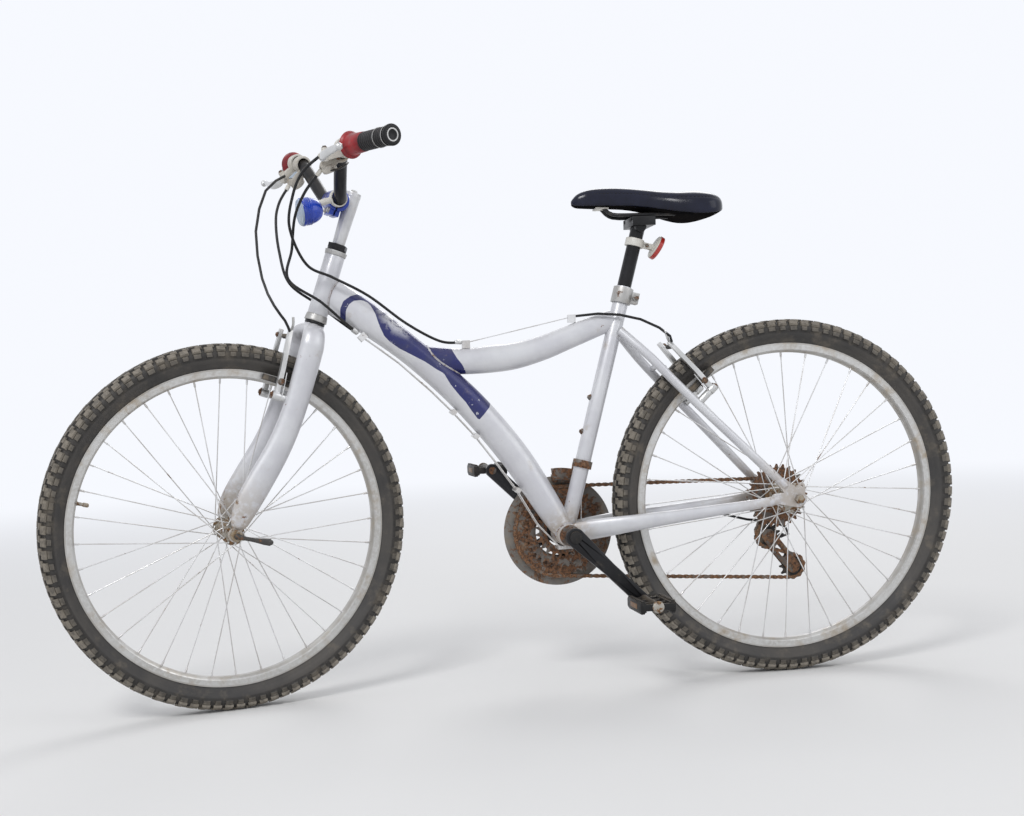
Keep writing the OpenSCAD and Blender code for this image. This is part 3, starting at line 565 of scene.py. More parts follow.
def curve(rows: Sequence[Sequence[float]], steps: int) -> list[tuple[float, ...]]:
    """A smooth line through rows of numbers.

    Args:
        rows: The rows that it passes through.
        steps: Pieces between two rows.

    Returns:
        The finer rows.
    """
    out: list[tuple[float, ...]] = []
    for i in range(len(rows) - 1):
        a, b, c, d = rows[max(i - 1, 0)], rows[i], rows[i + 1], rows[min(i + 2, len(rows) - 1)]
        for j in range(steps):
            t = j / steps
            out.append(tuple(
                0.5 * (2 * q + (r - p) * t + (2 * p - 5 * q + 4 * r - s) * t * t
                       + (3 * q - p - 3 * r + s) * t ** 3)
                for p, q, r, s in zip(a, b, c, d)
            ))
    out.append(tuple(rows[-1]))
    return out


def loft(rings: Sequence[Sequence[Sequence[float]]], around: bool = True, along: bool = False,
         caps: bool = True) -> Shape:
    """A skin over rings of points.

    Args:
        rings: Rings with the same number of points.
        around: Whether each ring is closed.
        along: Whether the last ring joins the first.
        caps: Whether the ends are filled.

    Returns:
        The skin.
    """
    n, m = len(rings[0]), len(rings)
    faces: list[tuple[int, ...]] = []
    for i in range(m if along else m - 1):
        a, b = i * n, ((i + 1) % m) * n
        for k in range(n if around else n - 1):
            j = (k + 1) % n
            faces.append((a + k, b + k, b + j, a + j))
    if caps and not along:
        faces += [tuple(range(n)), tuple(range(m * n - 1, (m - 1) * n - 1, -1))]
    return Shape([Vector(p) for ring in rings for p in ring], faces)


def swept(path: Sequence[Sequence[float]], across: Sequence[float], upright: Sequence[float], side: Triple,
          n: int) -> list[list[Vector]]:
    """Oval rings along a path.

    Args:
        path: Points of the path.
        across: Radius along the side vector at each point.
        upright: Radius square to it.
        side: The side vector at the start.
        n: Points in a ring.

    Returns:
        The rings.
    """
    points = [Vector(p[:3]) for p in path]
    s = Vector(side)
    rings = []
    for i, p in enumerate(points):
        t = (points[min(i + 1, len(points) - 1)] - points[max(i - 1, 0)]).normalized()
        s = (s - s.dot(t) * t).normalized()
        b = t.cross(s)
        rings.append([
            p + across[i] * math.cos(2 * math.pi * k / n) * s + upright[i] * math.sin(2 * math.pi * k / n) * b
            for k in range(n)
        ])
    return rings


def tube(points: Sequence[Sequence[float]], r: float, steps: int = 6, n: int = 12,
         side: Triple = (0.31, 0.9, 0.3)) -> Shape:
    """A round cable or wire through given points.

    Args:
        points: Where it goes.
        r: Its radius.
        steps: Pieces between two points.
        n: Sides.
        side: The side vector at the start.

    Returns:
        The tube.
    """
    path = curve([tuple(p)[:3] for p in points], steps)
    return loft(swept(path, [r] * len(path), [r] * len(path), side, n))


def lathe(profile: Sequence[Pair], n: int = 48, closed: bool = False) -> Shape:
    """Turns a profile of radius and height about Z.

    Args:
        profile: Points of radius and height.
        n: Sides.
        closed: Whether the profile's end joins its start.

    Returns:
        The turned shape.
    """
    rings = []
    for k in range(n):
        c, s = polar(1.0, 360.0 * k / n)
        rings.append([(r * c, r * s, z) for r, z in profile])
    return loft(rings, around=closed, along=True)


def drum(r: float, h: float, edge: float = 0.6, n: int = 32) -> Shape:
    """A short cylinder from z 0 to h with eased edges."""
    return lathe([(0, 0), (r - edge, 0), (r, edge), (r, h - edge), (r - edge, h), (0, h)], n)


def collar(inner: float, outer: float, half: float, edge: float) -> Shape:
    """A ring about Z with eased outer edges.

    Args:
        inner: Radius of its hole.
        outer: Radius over it.
        half: Half its height.
        edge: How much of the radius the easing takes.

    Returns:
        The ring.
    """
    low = [(inner, -half), (outer - edge, -half), (outer, 1 - half)]
    return lathe([*low, *((r, -z) for r, z in reversed(low))], 40, closed=True)


def dome(r: float, h: float, n: int = 24, rings: int = 5) -> Shape:
    """A low dome on a flat foot."""
    arc = [(r * math.cos(a), h * math.sin(a)) for a in (math.pi / 2 * k / rings for k in range(rings + 1))]
    return lathe([(0, 0), *arc], n)


def plate(outline: Sequence[Pair], y0: float, y1: float) -> Shape:
    """A flat X-Z outline made solid from y0 to y1."""
    return loft([[(x, y, z) for x, z in outline] for y in (y0, y1)])


def box(x: Pair, y: Pair, z: Pair, taper: float = 0.0) -> Shape:
    """A block between two corners, for a bevel to round.

    Args:
        x: Its extent along X.
        y: Its extent along Y.
        z: Its extent along Z.
        taper: How far the top draws in on each side.

    Returns:
        The block.
    """
    rings = []
    for inset, level in ((0.0, z[0]), (taper, z[1])):
        (x0, x1), (y0, y1) = (x[0] + inset, x[1] - inset), (y[0] + inset, y[1] - inset)
        rings.append([(x0, y0, level), (x1, y0, level), (x1, y1, level), (x0, y1, level)])
    return loft(rings)


def bolt(r: float = 4.0, h: float = 3.5, washer: float = 0.0) -> Shape:
    """A hexagon head standing on z 0.

    Args:
        r: Radius over the corners.
        h: Height of the head.
        washer: Radius of a washer under it, or 0 for none.

    Returns:
        The bolt head.
    """
    head = lathe([(0, 0), (r, 0), (r, h * 0.8), (r * 0.86, h), (0, h)], 6)
    return head.join(drum(washer, 1.0, 0.2)) if washer else head


def facing(point: Sequence[float], direction: Sequence[float]) -> Matrix:
    """A frame at a point whose Z looks in a direction."""
    return shift(*point) @ Vector(direction).to_track_quat("Z", "Y").to_matrix().to_4x4()


# ---- placing and making ----


@dataclass(frozen=True)
class Layout:
    """The frames of the bicycle's parts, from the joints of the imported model."""

    seat_angle: float = 74.3
    stay_angle: float = 46.5
    tail_lean: float = 16.0

    def joint(self, name: str) -> tuple[Vector, Vector]:
        """A joint's place and axis."""
        found = next(j for j in frame["joints"] if j["name"] == name)
        return Vector(found["pos_m"]), Vector(found["axis"]).normalized()

    def on(self, place: Vector, rotation: Matrix | None = None) -> Matrix:
        """A frame in millimetres at a place.

        Args:
            place: Its origin in metres.
            rotation: Its turn, or None for none.

        Returns:
            The frame's matrix.
        """
        return Matrix.Translation(place) @ (rotation or Matrix.Identity(4)) @ Matrix.Scale(MM, 4)

    @property
    def bike(self) -> Matrix:
        """At the rear axle."""
        return self.on(self.joint("rear_wheel_spin")[0])

    def steered(self) -> Matrix:
        """The turn of the fork as it rests."""
        y = self.joint("front_wheel_spin")[1]
        z = self.joint("steering")[1]
        return Matrix((y.cross(z), y, z)).transposed().to_4x4()

    @property
    def fork(self) -> Matrix:
        """On the steering axis, turned with the fork."""
        return self.on(self.joint("steering")[0], self.steered())

    @property
    def front_hub(self) -> Matrix:
        """At the front axle."""
        return self.on(self.joint("front_wheel_spin")[0], self.steered())

    @property
    def bracket(self) -> Matrix:
        """At the bottom bracket."""
        return self.on(self.joint("crank_spin")[0])

    @property
    def seat(self) -> Matrix:
        """At the bottom bracket with Z up the seat tube."""
        return self.bracket @ turn("Y", self.seat_angle - 90.0)

    @property
    def stays(self) -> Matrix:
        """At the rear axle with Z along the seat stays."""
        return self.bike @ turn("Y", 90.0 - self.stay_angle) @ Matrix.Diagonal((-1.0, 1.0, 1.0, 1.0))

    def crank(self, side: str) -> Matrix:
        """At the bottom bracket with X along a crank, left or right."""
        way = self.joint(side + "_pedal_spin")[0] - self.joint("crank_spin")[0]
        return self.bracket @ turn("Y", -math.degrees(math.atan2(way.z, way.x)))

    def pedal(self, side: str) -> Matrix:
        """At a pedal's axle, on the centre plane of the bicycle."""
        place = self.joint(side + "_pedal_spin")[0].copy()
        place.y = 0.0
        return self.on(place)


LAYOUT = Layout()


def piece(name: str, shape: Shape, place: Matrix, finish: Finish, body: Body | None, *, sharp: float = 38.0,
          bevel: float = 0.0, replaces: Sequence[str] = ()) -> bpy.types.Object:
    """Makes a shape into an object of the scene.

    Args:
        name: The piece's name.
        shape: Its shape in millimetres.
        place: The frame that it is drawn in.
        finish: Its surface.
        body: What it moves with, or None where it rides on nothing.
        sharp: Edges over this angle stay sharp, in degrees.
        bevel: Width of its rounded edges in millimetres.
        replaces: CAD nodes that it stands for.

    Returns:
        The object.
    """
    mesh = bpy.data.meshes.new(name)
    mesh.from_pydata([place @ p for p in shape.points], [], shape.faces)
    work = bmesh.new()
    work.from_mesh(mesh)
    bmesh.ops.remove_doubles(work, verts=work.verts, dist=2e-6)
    bmesh.ops.recalc_face_normals(work, faces=work.faces)
    work.to_mesh(mesh)
    work.free()
    mesh.materials.append(finish.material())
    mesh.shade_smooth()
    made = bpy.data.objects.new(name, mesh)
    bpy.context.scene.collection.objects.link(made)
    soften(made, sharp, bevel)
    if replaces:
        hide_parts(*replaces)
    if body:
        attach(made, body.value)
    log.info("%s: %d points, %s", name, len(mesh.vertices), finish.name)
    return made


def soften(made: bpy.types.Object, sharp: float, bevel: float) -> None:
    """Adds the modifiers that round an object's edges and keep its sharp ones.

    Args:
        made: The object.
        sharp: Edges over this angle stay sharp, in degrees.
        bevel: Width of the rounded edges in millimetres.
    """
    if bevel:
        ease = made.modifiers.new("ease", "BEVEL")
        ease.width = bevel * MM
        ease.segments = 2
        ease.limit_method = "ANGLE"
        ease.angle_limit = math.radians(sharp)
    split = made.modifiers.new("split", "EDGE_SPLIT")
    split.split_angle = math.radians(sharp)


def dress(finish: Finish, *nodes: str, bevel: float = 0.0, sharp: float = 34.0) -> None:
    """Gives CAD nodes that keep their shape a finish and smooth shading.

    Args:
        finish: Their surface.
        nodes: The nodes' names.
        bevel: Width of their rounded edges in millimetres.
        sharp: Edges over this angle stay sharp, in degrees.
    """
    for name in nodes:
        node = frame["nodes"][name]
        node.data.materials.clear()
        node.data.materials.append(finish.material())
        normals = node.data.attributes.get("custom_normal")
        if normals:
            node.data.attributes.remove(normals)
        node.data.shade_smooth()
        weld = node.modifiers.new("weld", "WELD")
        weld.merge_threshold = 1e-5
        soften(node, sharp, bevel)
        log.info("%s: carried over, %s", name, finish.name)


def tree_of(node: str) -> BVHTree:
    """A CAD node's surface, to cast rays at."""
    mesh = frame["nodes"][node].data
    return BVHTree.FromPolygons([v.co for v in mesh.vertices], [tuple(p.vertices) for p in mesh.polygons])


# ---- finishes ----

REAR_HUB = tuple(LAYOUT.joint("rear_wheel_spin")[0])
FRONT_HUB = tuple(LAYOUT.joint("front_wheel_spin")[0])
BRACKET = tuple(LAYOUT.joint("crank_spin")[0])
DIRTY = ((REAR_HUB, 0.155), (FRONT_HUB, 0.14), (BRACKET, 0.075))

PAINT = Finish("silver_paint_aged", "silver_paint", SILVER, SILVER_SHADE, metal=0.25, rough=(0.3, 0.46),
               coat=0.35, rust_from=0.665, rust_scale=62.0, dust_tone=DUST, dust_from=0.60, dust_top=0.12,
               grain=900.0, depth=0.05, grimy=DIRTY)
BAND_PAINT = Graphic("silver_paint_banded", "silver_paint", SILVER, SILVER_SHADE, metal=0.22,
                     rough=(0.28, 0.44), coat=0.4, rust_from=0.67, rust_scale=62.0, dust_tone=DUST,
                     dust_from=0.61, dust_top=0.12, grain=900.0, depth=0.05, grimy=DIRTY)
BEAD = Finish("weld_paint", "silver_paint", (0.5, 0.5, 0.53), (0.38, 0.36, 0.36), metal=0.2, rough=(0.4, 0.6),
              rust_from=0.56, rust_scale=90.0, dust_tone=DUST, dust_from=0.5, grain=600.0, depth=0.2)
ALLOY = Finish("alloy_worn", "worn_alloy", (0.50, 0.50, 0.49), (0.38, 0.37, 0.355), metal=0.8,
               rough=(0.34, 0.55), rust_from=0.64, rust_scale=70.0, dust_tone=DUST, dust_from=0.56,
               dust_top=0.2, grimy=DIRTY)
BRIGHT = Finish("alloy_bright", "worn_alloy", (0.66, 0.66, 0.66), (0.54, 0.54, 0.53), metal=0.75,
                rough=(0.22, 0.4), rust_from=0.68, dust_tone=DUST, dust_from=0.58, dust_top=0.12)
HUB = Finish("hub_alloy_dirty", "worn_alloy", (0.42, 0.40, 0.36), (0.28, 0.24, 0.19), metal=0.7,
             rough=(0.4, 0.65), rust_tone=(0.25, 0.13, 0.05), rust_from=0.5, rust_scale=80.0,
             dust_tone=HUB_GRIME, dust_from=0.42, dust_top=0.2)
LEVER = Finish("release_lever_dark", "worn_alloy", (0.085, 0.08, 0.075), (0.045, 0.042, 0.04), metal=0.5,
               rough=(0.35, 0.55), rust_tone=(0.2, 0.1, 0.05), rust_from=0.58, rust_scale=60.0,
               dust_tone=(0.2, 0.16, 0.11), dust_from=0.58)
# The guard's dark grey tone is dust and rust, darkened further as painted shade.
GUARD = Finish("guard_dust_and_shade", "worn_alloy", (0.22, 0.21, 0.195), (0.15, 0.135, 0.12), metal=0.5,
               rough=(0.45, 0.7), rust_tone=(0.20, 0.105, 0.055), rust_from=0.53, rust_scale=42.0,
               dust_tone=(0.24, 0.19, 0.135), dust_from=0.47)
FRONT_TRACK = Track("front_rim_alloy", "worn_alloy", (0.52, 0.51, 0.49), (0.40, 0.38, 0.35), metal=0.7,
                    rough=(0.32, 0.5), rust_from=0.7, dust_tone=DUST, dust_from=0.5, centre=FRONT_HUB)
REAR_TRACK = replace(FRONT_TRACK, name="rear_rim_alloy", dust_from=0.48, centre=REAR_HUB)
SPOKE = Finish("spoke_steel_dull", "spoke_steel", (0.74, 0.74, 0.74), (0.56, 0.54, 0.52), metal=0.7,
               rough=(0.25, 0.45), rust_from=0.63, rust_scale=30.0, dust_tone=DUST, dust_from=0.6,
               grain=200.0, depth=0.02)
BLACK = Finish("black_paint_worn", "black_paint", (0.007, 0.007, 0.008), (0.016, 0.016, 0.018),
               rough=(0.24, 0.42), shine=0.28, rust_from=0.67, rust_scale=60.0, dust_tone=(0.13, 0.11, 0.085),
               dust_from=0.58, dust_top=0.22, depth=0.06)
VINYL = Finish("saddle_vinyl", "black_vinyl", (0.004, 0.005, 0.015), (0.009, 0.011, 0.028),
               rough=(0.13, 0.22), shine=0.3, dust_tone=(0.11, 0.10, 0.09), dust_from=0.66, grain=900.0,
               depth=0.1, blotch=20.0)
UNDERSIDE = Finish("saddle_underside", "black_plastic", (0.006, 0.006, 0.007), (0.012, 0.011, 0.011),
                   rough=(0.6, 0.8), shine=0.0, dust_tone=(0.06, 0.05, 0.04), dust_from=0.6, depth=0.15)
RED = Finish("grip_red", "red_plastic", (0.33, 0.008, 0.012), (0.13, 0.008, 0.012), rough=(0.3, 0.5),
             blotch=26.0, dust_tone=(0.3, 0.15, 0.14), dust_from=0.52, dust_top=0.3)
RUSTY = Finish("steel_rusted", "rusty_steel", (0.20, 0.18, 0.16), (0.11, 0.095, 0.085), metal=0.6,
               rough=(0.42, 0.66), rust_tone=(0.20, 0.095, 0.045), rust_dark=(0.06, 0.034, 0.022),
               rust_from=0.44, rust_scale=55.0, dust_tone=(0.27, 0.20, 0.13), dust_from=0.56, dust_top=0.15,
               depth=0.3)
CHAIN = Finish("chain_rusted", "rusty_steel", (0.22, 0.18, 0.15), (0.12, 0.095, 0.075), metal=0.5,
               rough=(0.5, 0.75), rust_tone=(0.25, 0.125, 0.06), rust_dark=(0.09, 0.05, 0.03), rust_from=0.42,
               rust_scale=90.0, dust_tone=(0.33, 0.25, 0.17), dust_from=0.6, depth=0.3)
GRIP = Finish("grip_rubber", "black_rubber", (0.009, 0.009, 0.010), (0.018, 0.017, 0.018), rough=(0.36, 0.55),
              shine=0.3, dust_tone=(0.13, 0.105, 0.10), dust_from=0.6, dust_top=0.15, grain=700.0, depth=0.2)
PADS = Finish("pad_rubber", "black_rubber", (0.028, 0.028, 0.03), (0.05, 0.047, 0.043), rough=(0.6, 0.8),
              dust_tone=(0.25, 0.2, 0.14), dust_from=0.46, dust_top=0.3, grain=600.0, depth=0.25)
HOUSING = Finish("housing_plastic", "black_plastic", (0.008, 0.008, 0.009), (0.016, 0.016, 0.017),
                 rough=(0.3, 0.46), shine=0.3, dust_tone=(0.2, 0.17, 0.13), dust_from=0.58, dust_top=0.15,
                 grain=300.0, depth=0.04)
PLASTIC = Finish("pedal_plastic", "black_plastic", (0.010, 0.010, 0.010), (0.022, 0.020, 0.019),
                 rough=(0.4, 0.6), shine=0.3, dust_tone=(0.24, 0.19, 0.135), dust_from=0.52, dust_top=0.35,
                 depth=0.18)
PALE = Finish("plastic_cream", "worn_alloy", (0.66, 0.645, 0.60), (0.54, 0.515, 0.46), rough=(0.35, 0.55),
              dust_tone=(0.36, 0.3, 0.22), dust_from=0.5, dust_top=0.2, depth=0.08)
BLUE = Finish("lamp_blue", "blue_plastic", (0.006, 0.055, 0.52), (0.006, 0.03, 0.28), rough=(0.16, 0.32),
              coat=0.3, dust_tone=(0.12, 0.15, 0.22), dust_from=0.62, dust_top=0.15, depth=0.05)
CLEAR = Lens("lens_clear", "clear_lens", (0.52, 0.66, 0.86), (0.5, 0.58, 0.68), rough=(0.12, 0.3),
             dust_tone=(0.5, 0.45, 0.36), dust_from=0.55, grain=150.0, depth=0.05)
TAIL_RED = Finish("tail_lens_red", "red_plastic", (0.55, 0.03, 0.02), (0.34, 0.02, 0.015), rough=(0.18, 0.35),
                  coat=0.5, dust_tone=(0.3, 0.2, 0.15), dust_from=0.55, grain=260.0, depth=0.6)
FRONT_TREAD = Tyre("front_tyre_dusty", "tyre_rubber", (0.036, 0.034, 0.033), (0.062, 0.056, 0.050),
                   rough=(0.5, 0.72), dust_tone=(0.13, 0.11, 0.085), dust_from=0.5, grain=420.0, depth=0.25,
                   blotch=9.0, centre=FRONT_HUB, axis=tuple(LAYOUT.joint("front_wheel_spin")[1]))
REAR_TREAD = replace(FRONT_TREAD, name="rear_tyre_dusty", centre=REAR_HUB, axis=(0.0, 1.0, 0.0))
AMBER = Finish("amber_dusty", "red_plastic", (0.22, 0.10, 0.035), (0.12, 0.065, 0.03), rough=(0.35, 0.6),
               dust_tone=(0.24, 0.19, 0.13), dust_from=0.40, grain=240.0, depth=0.5)
PALE_STEM = Finish("stem_pale", "worn_alloy", (0.68, 0.68, 0.68), (0.56, 0.56, 0.57), metal=0.3,
                   rough=(0.28, 0.46), coat=0.2, rust_from=0.66, dust_tone=(0.42, 0.34, 0.28), dust_from=0.54,
                   dust_top=0.12)
CLAMP_BLUE = Finish("clamp_blue", "blue_plastic", (0.012, 0.06, 0.46), (0.012, 0.04, 0.3), metal=0.35,
                    rough=(0.22, 0.4), coat=0.3, dust_tone=(0.3, 0.26, 0.26), dust_from=0.56, dust_top=0.2)
SMOKE = Finish("pod_plastic", "worn_alloy", (0.60, 0.575, 0.52), (0.44, 0.41, 0.36), rough=(0.4, 0.6),
               metal=0.25, dust_tone=(0.34, 0.27, 0.19), dust_from=0.46, dust_top=0.2, depth=0.1)


# ---- the frame ----


@dataclass
class FrameTubes:
    """The painted frame: two curved oval tubes with a band of colour, welds and the plain CAD tubes."""

    down_line: tuple[tuple[float, ...], ...] = (
        (842, 413, 30, 13), (765, 360, 28, 22), (700, 308, 25, 24), (640, 254, 25.5, 24), (580, 192, 27, 24),
        (510, 103, 27, 24), (452, 8, 24.5, 25), (421, -45, 19, 26))
    top_line: tuple[tuple[float, ...], ...] = (
        (690, 293, 20, 17), (650, 285, 22, 18), (600, 279, 23, 19), (545, 281, 24.5, 20),
        (500, 285, 23.5, 19), (450, 297, 22, 18), (410, 311, 21, 16), (365, 327, 20, 14), (320, 342, 18, 12))
    band: tuple[Pair, ...] = (
        (764, 388), (755, 370), (749, 348), (741, 329), (732, 319), (715, 306), (694, 294), (671, 281),
        (650, 266), (638, 259), (627, 239), (612, 219), (600, 205), (592, 192), (578, 172), (557, 194),
        (530, 240), (600, 350), (700, 430), (790, 470), (770, 400))
    loop: tuple[Pair, ...] = (
        (817, 340), (816, 380), (810, 393), (798, 401), (785, 405), (758, 398), (762, 387), (776, 394),
        (791, 393), (800, 387), (806, 377), (808, 340))
    top_band: tuple[Pair, ...] = (
        (740, 400), (640, 380), (621, 312), (618, 297), (612, 285), (603, 273), (597, 262), (592, 248),
        (640, 235), (760, 260))
    # Outline of a painted highlight: a glare patch on the down tube's top, in millimetres from the rear axle.
    glare_patch: tuple[Pair, ...] = ((748, 378), (735, 350), (722, 338), (702, 330), (702, 350), (730, 380))
    sides: int = 64
    steps: int = 16
    bead_r: float = 2.1
    band_fade: float = 20.0
    least_met: float = 0.7

    def build(self) -> None:
        """Makes the two curved tubes, the welds, bosses and small fittings, and dresses the rest."""
        down = self.rings(self.down_line)
        top = self.rings(self.top_line)
        self.banded("down_tube_painted", down, (self.band, self.loop), "down_tube")
        self.banded("top_tube_painted", top, (self.top_band,), "top_tube")
        beads = Shape()
        beads.join(self.weld(down, "head_tube", True), self.weld(down, "bottom_bracket_shell", False))
        beads.join(self.weld(top, "down_tube", True), self.weld(top, "seat_tube", False))
        piece("frame_welds", beads, Matrix.Scale(1.0, 4), BEAD, Body.FRAME, sharp=80)
        dress(PAINT, "head_tube", "seat_tube", "bottom_bracket_shell", "rear_dropouts", bevel=0.7)
        dress(PAINT, "chainstays", "seatstays", sharp=30)
        self.fittings()

    def rings(self, line: Sequence[Sequence[float]]) -> list[list[Vector]]:
        """A tube's rings in metres in the part's frame.

        Args:
            line: Rows of x, z, upright radius and side radius.

        Returns:
            The rings.
        """
        rows = curve(line, self.steps)
        middle = [(p[0], 0, p[1]) for p in rows]
        rings = swept(middle, [p[3] for p in rows], [p[2] for p in rows], (0, 1, 0), self.sides)
        place = LAYOUT.bike
        return [[place @ v for v in ring] for ring in rings]

    def banded(self, name: str, rings: list[list[Vector]], outlines: Sequence[Sequence[Pair]],
               node: str) -> None:
        """Makes a tube and stores how far each point is inside the painted band.

        Args:
            name: The piece's name.
            rings: The tube's rings in metres.
            outlines: The band's outlines as seen from the side, in millimetres from the rear axle.
            node: The CAD node that it stands for.
        """
        made = piece(name, loft(rings), Matrix.Identity(4), BAND_PAINT, Body.FRAME, sharp=60,
                     replaces=(node,))
        back = LAYOUT.bike.inverted()
        flat = [(p.x, p.z) for p in (back @ v.co for v in made.data.vertices)]
        band = [max(depth_in(p, outline) for outline in outlines) for p in flat]
        # How far each point lies inside the glare patch, the painted highlight that clears the band.
        glare = [depth_in(p, self.glare_patch) for p in flat]
        for key, values in (("band", band), ("glare", glare)):
            layer = made.data.attributes.new(key, "FLOAT", "POINT")
            layer.data.foreach_set("value", [min(max(0.5 + d / self.band_fade, 0.0), 1.0) for d in values])

    def weld(self, rings: list[list[Vector]], node: str, forward: bool) -> Shape:
        """A bead where a tube's end meets another piece.

        Args:
            rings: The tube's rings in metres.
            node: The CAD node that it meets.
            forward: Whether the meeting is at the start of the tube.

        Returns:
            The bead in metres, or nothing where they don't meet all round.
        """
        tree = tree_of(node)
        order = rings[::-1] if forward else rings
        path = []
        for k in range(self.sides):
            for a, b in zip(order[len(order) // 2:], order[len(order) // 2 + 1:]):
                way = b[k] - a[k]
                hit = tree.ray_cast(a[k], way.normalized(), way.length + 1e-5)[0]
                if hit is not None:
                    path.append(hit)
                    break
        if len(path) < self.sides * self.least_met:
            return Shape()
        around = []
        n = len(path)
        for i, p in enumerate(path):
            t = (path[(i + 1) % n] - path[i - 1]).normalized()
            r = self.bead_r * MM * (1.0 + 0.16 * math.sin(i * 1.9))
            out = Vector((0, 1, 0)) - t.y * t
            s = (out if out.length > 0.05 else t.orthogonal()).normalized()
            b = t.cross(s)
            turns = [math.pi / 4 * j for j in range(8)]
            around.append([p + r * (math.cos(a) * s + math.sin(a) * b) for a in turns])
        return loft(around, along=True, caps=False)

    def fittings(self) -> None:
        """The bridges between the stays and the bosses for a bottle."""
        place = LAYOUT.bike
        bridge = tube([(356, -33, -35), (356, 0, -35), (356, 33, -35)], 6, 4, 16)
        piece("chainstay_bridge", bridge, place, PAINT, Body.FRAME)
        brace = tube([(236, -37, 250), (240, 0, 254), (236, 37, 250)], 5.5, 6, 16)
        piece("seatstay_bridge", brace, place, PAINT, Body.FRAME)
        bosses = Shape()
        for z in (190, 254):
            bosses.join(drum(5.5, 2.5).at(shift(14, 0, z) @ turn("Y", 90)))
            bosses.join(bolt(3.4, 3.0).at(shift(16.5, 0, z) @ turn("Y", 90)))
        piece("bottle_bosses", bosses, LAYOUT.seat, RUSTY, Body.FRAME, bevel=0.2)


def depth_in(p: Pair, outline: Sequence[Pair]) -> float:
    """How far a flat point lies inside an outline, and below 0 outside it.

    Args:
        p: The point.
        outline: The corners.

    Returns:
        The distance to the nearest side.
    """
    inside = False
    nearest = 1e9
    x, y = p
    for i, (x1, y1) in enumerate(outline):
        x0, y0 = outline[i - 1]
        if (y0 > y) != (y1 > y) and x < (x1 - x0) * (y - y0) / (y1 - y0) + x0:
            inside = not inside
        dx, dy = x1 - x0, y1 - y0
        t = min(max(((x - x0) * dx + (y - y0) * dy) / (dx * dx + dy * dy), 0.0), 1.0)
        nearest = min(nearest, math.hypot(x - x0 - t * dx, y - y0 - t * dy))
    return nearest if inside else -nearest


# ---- seat ----


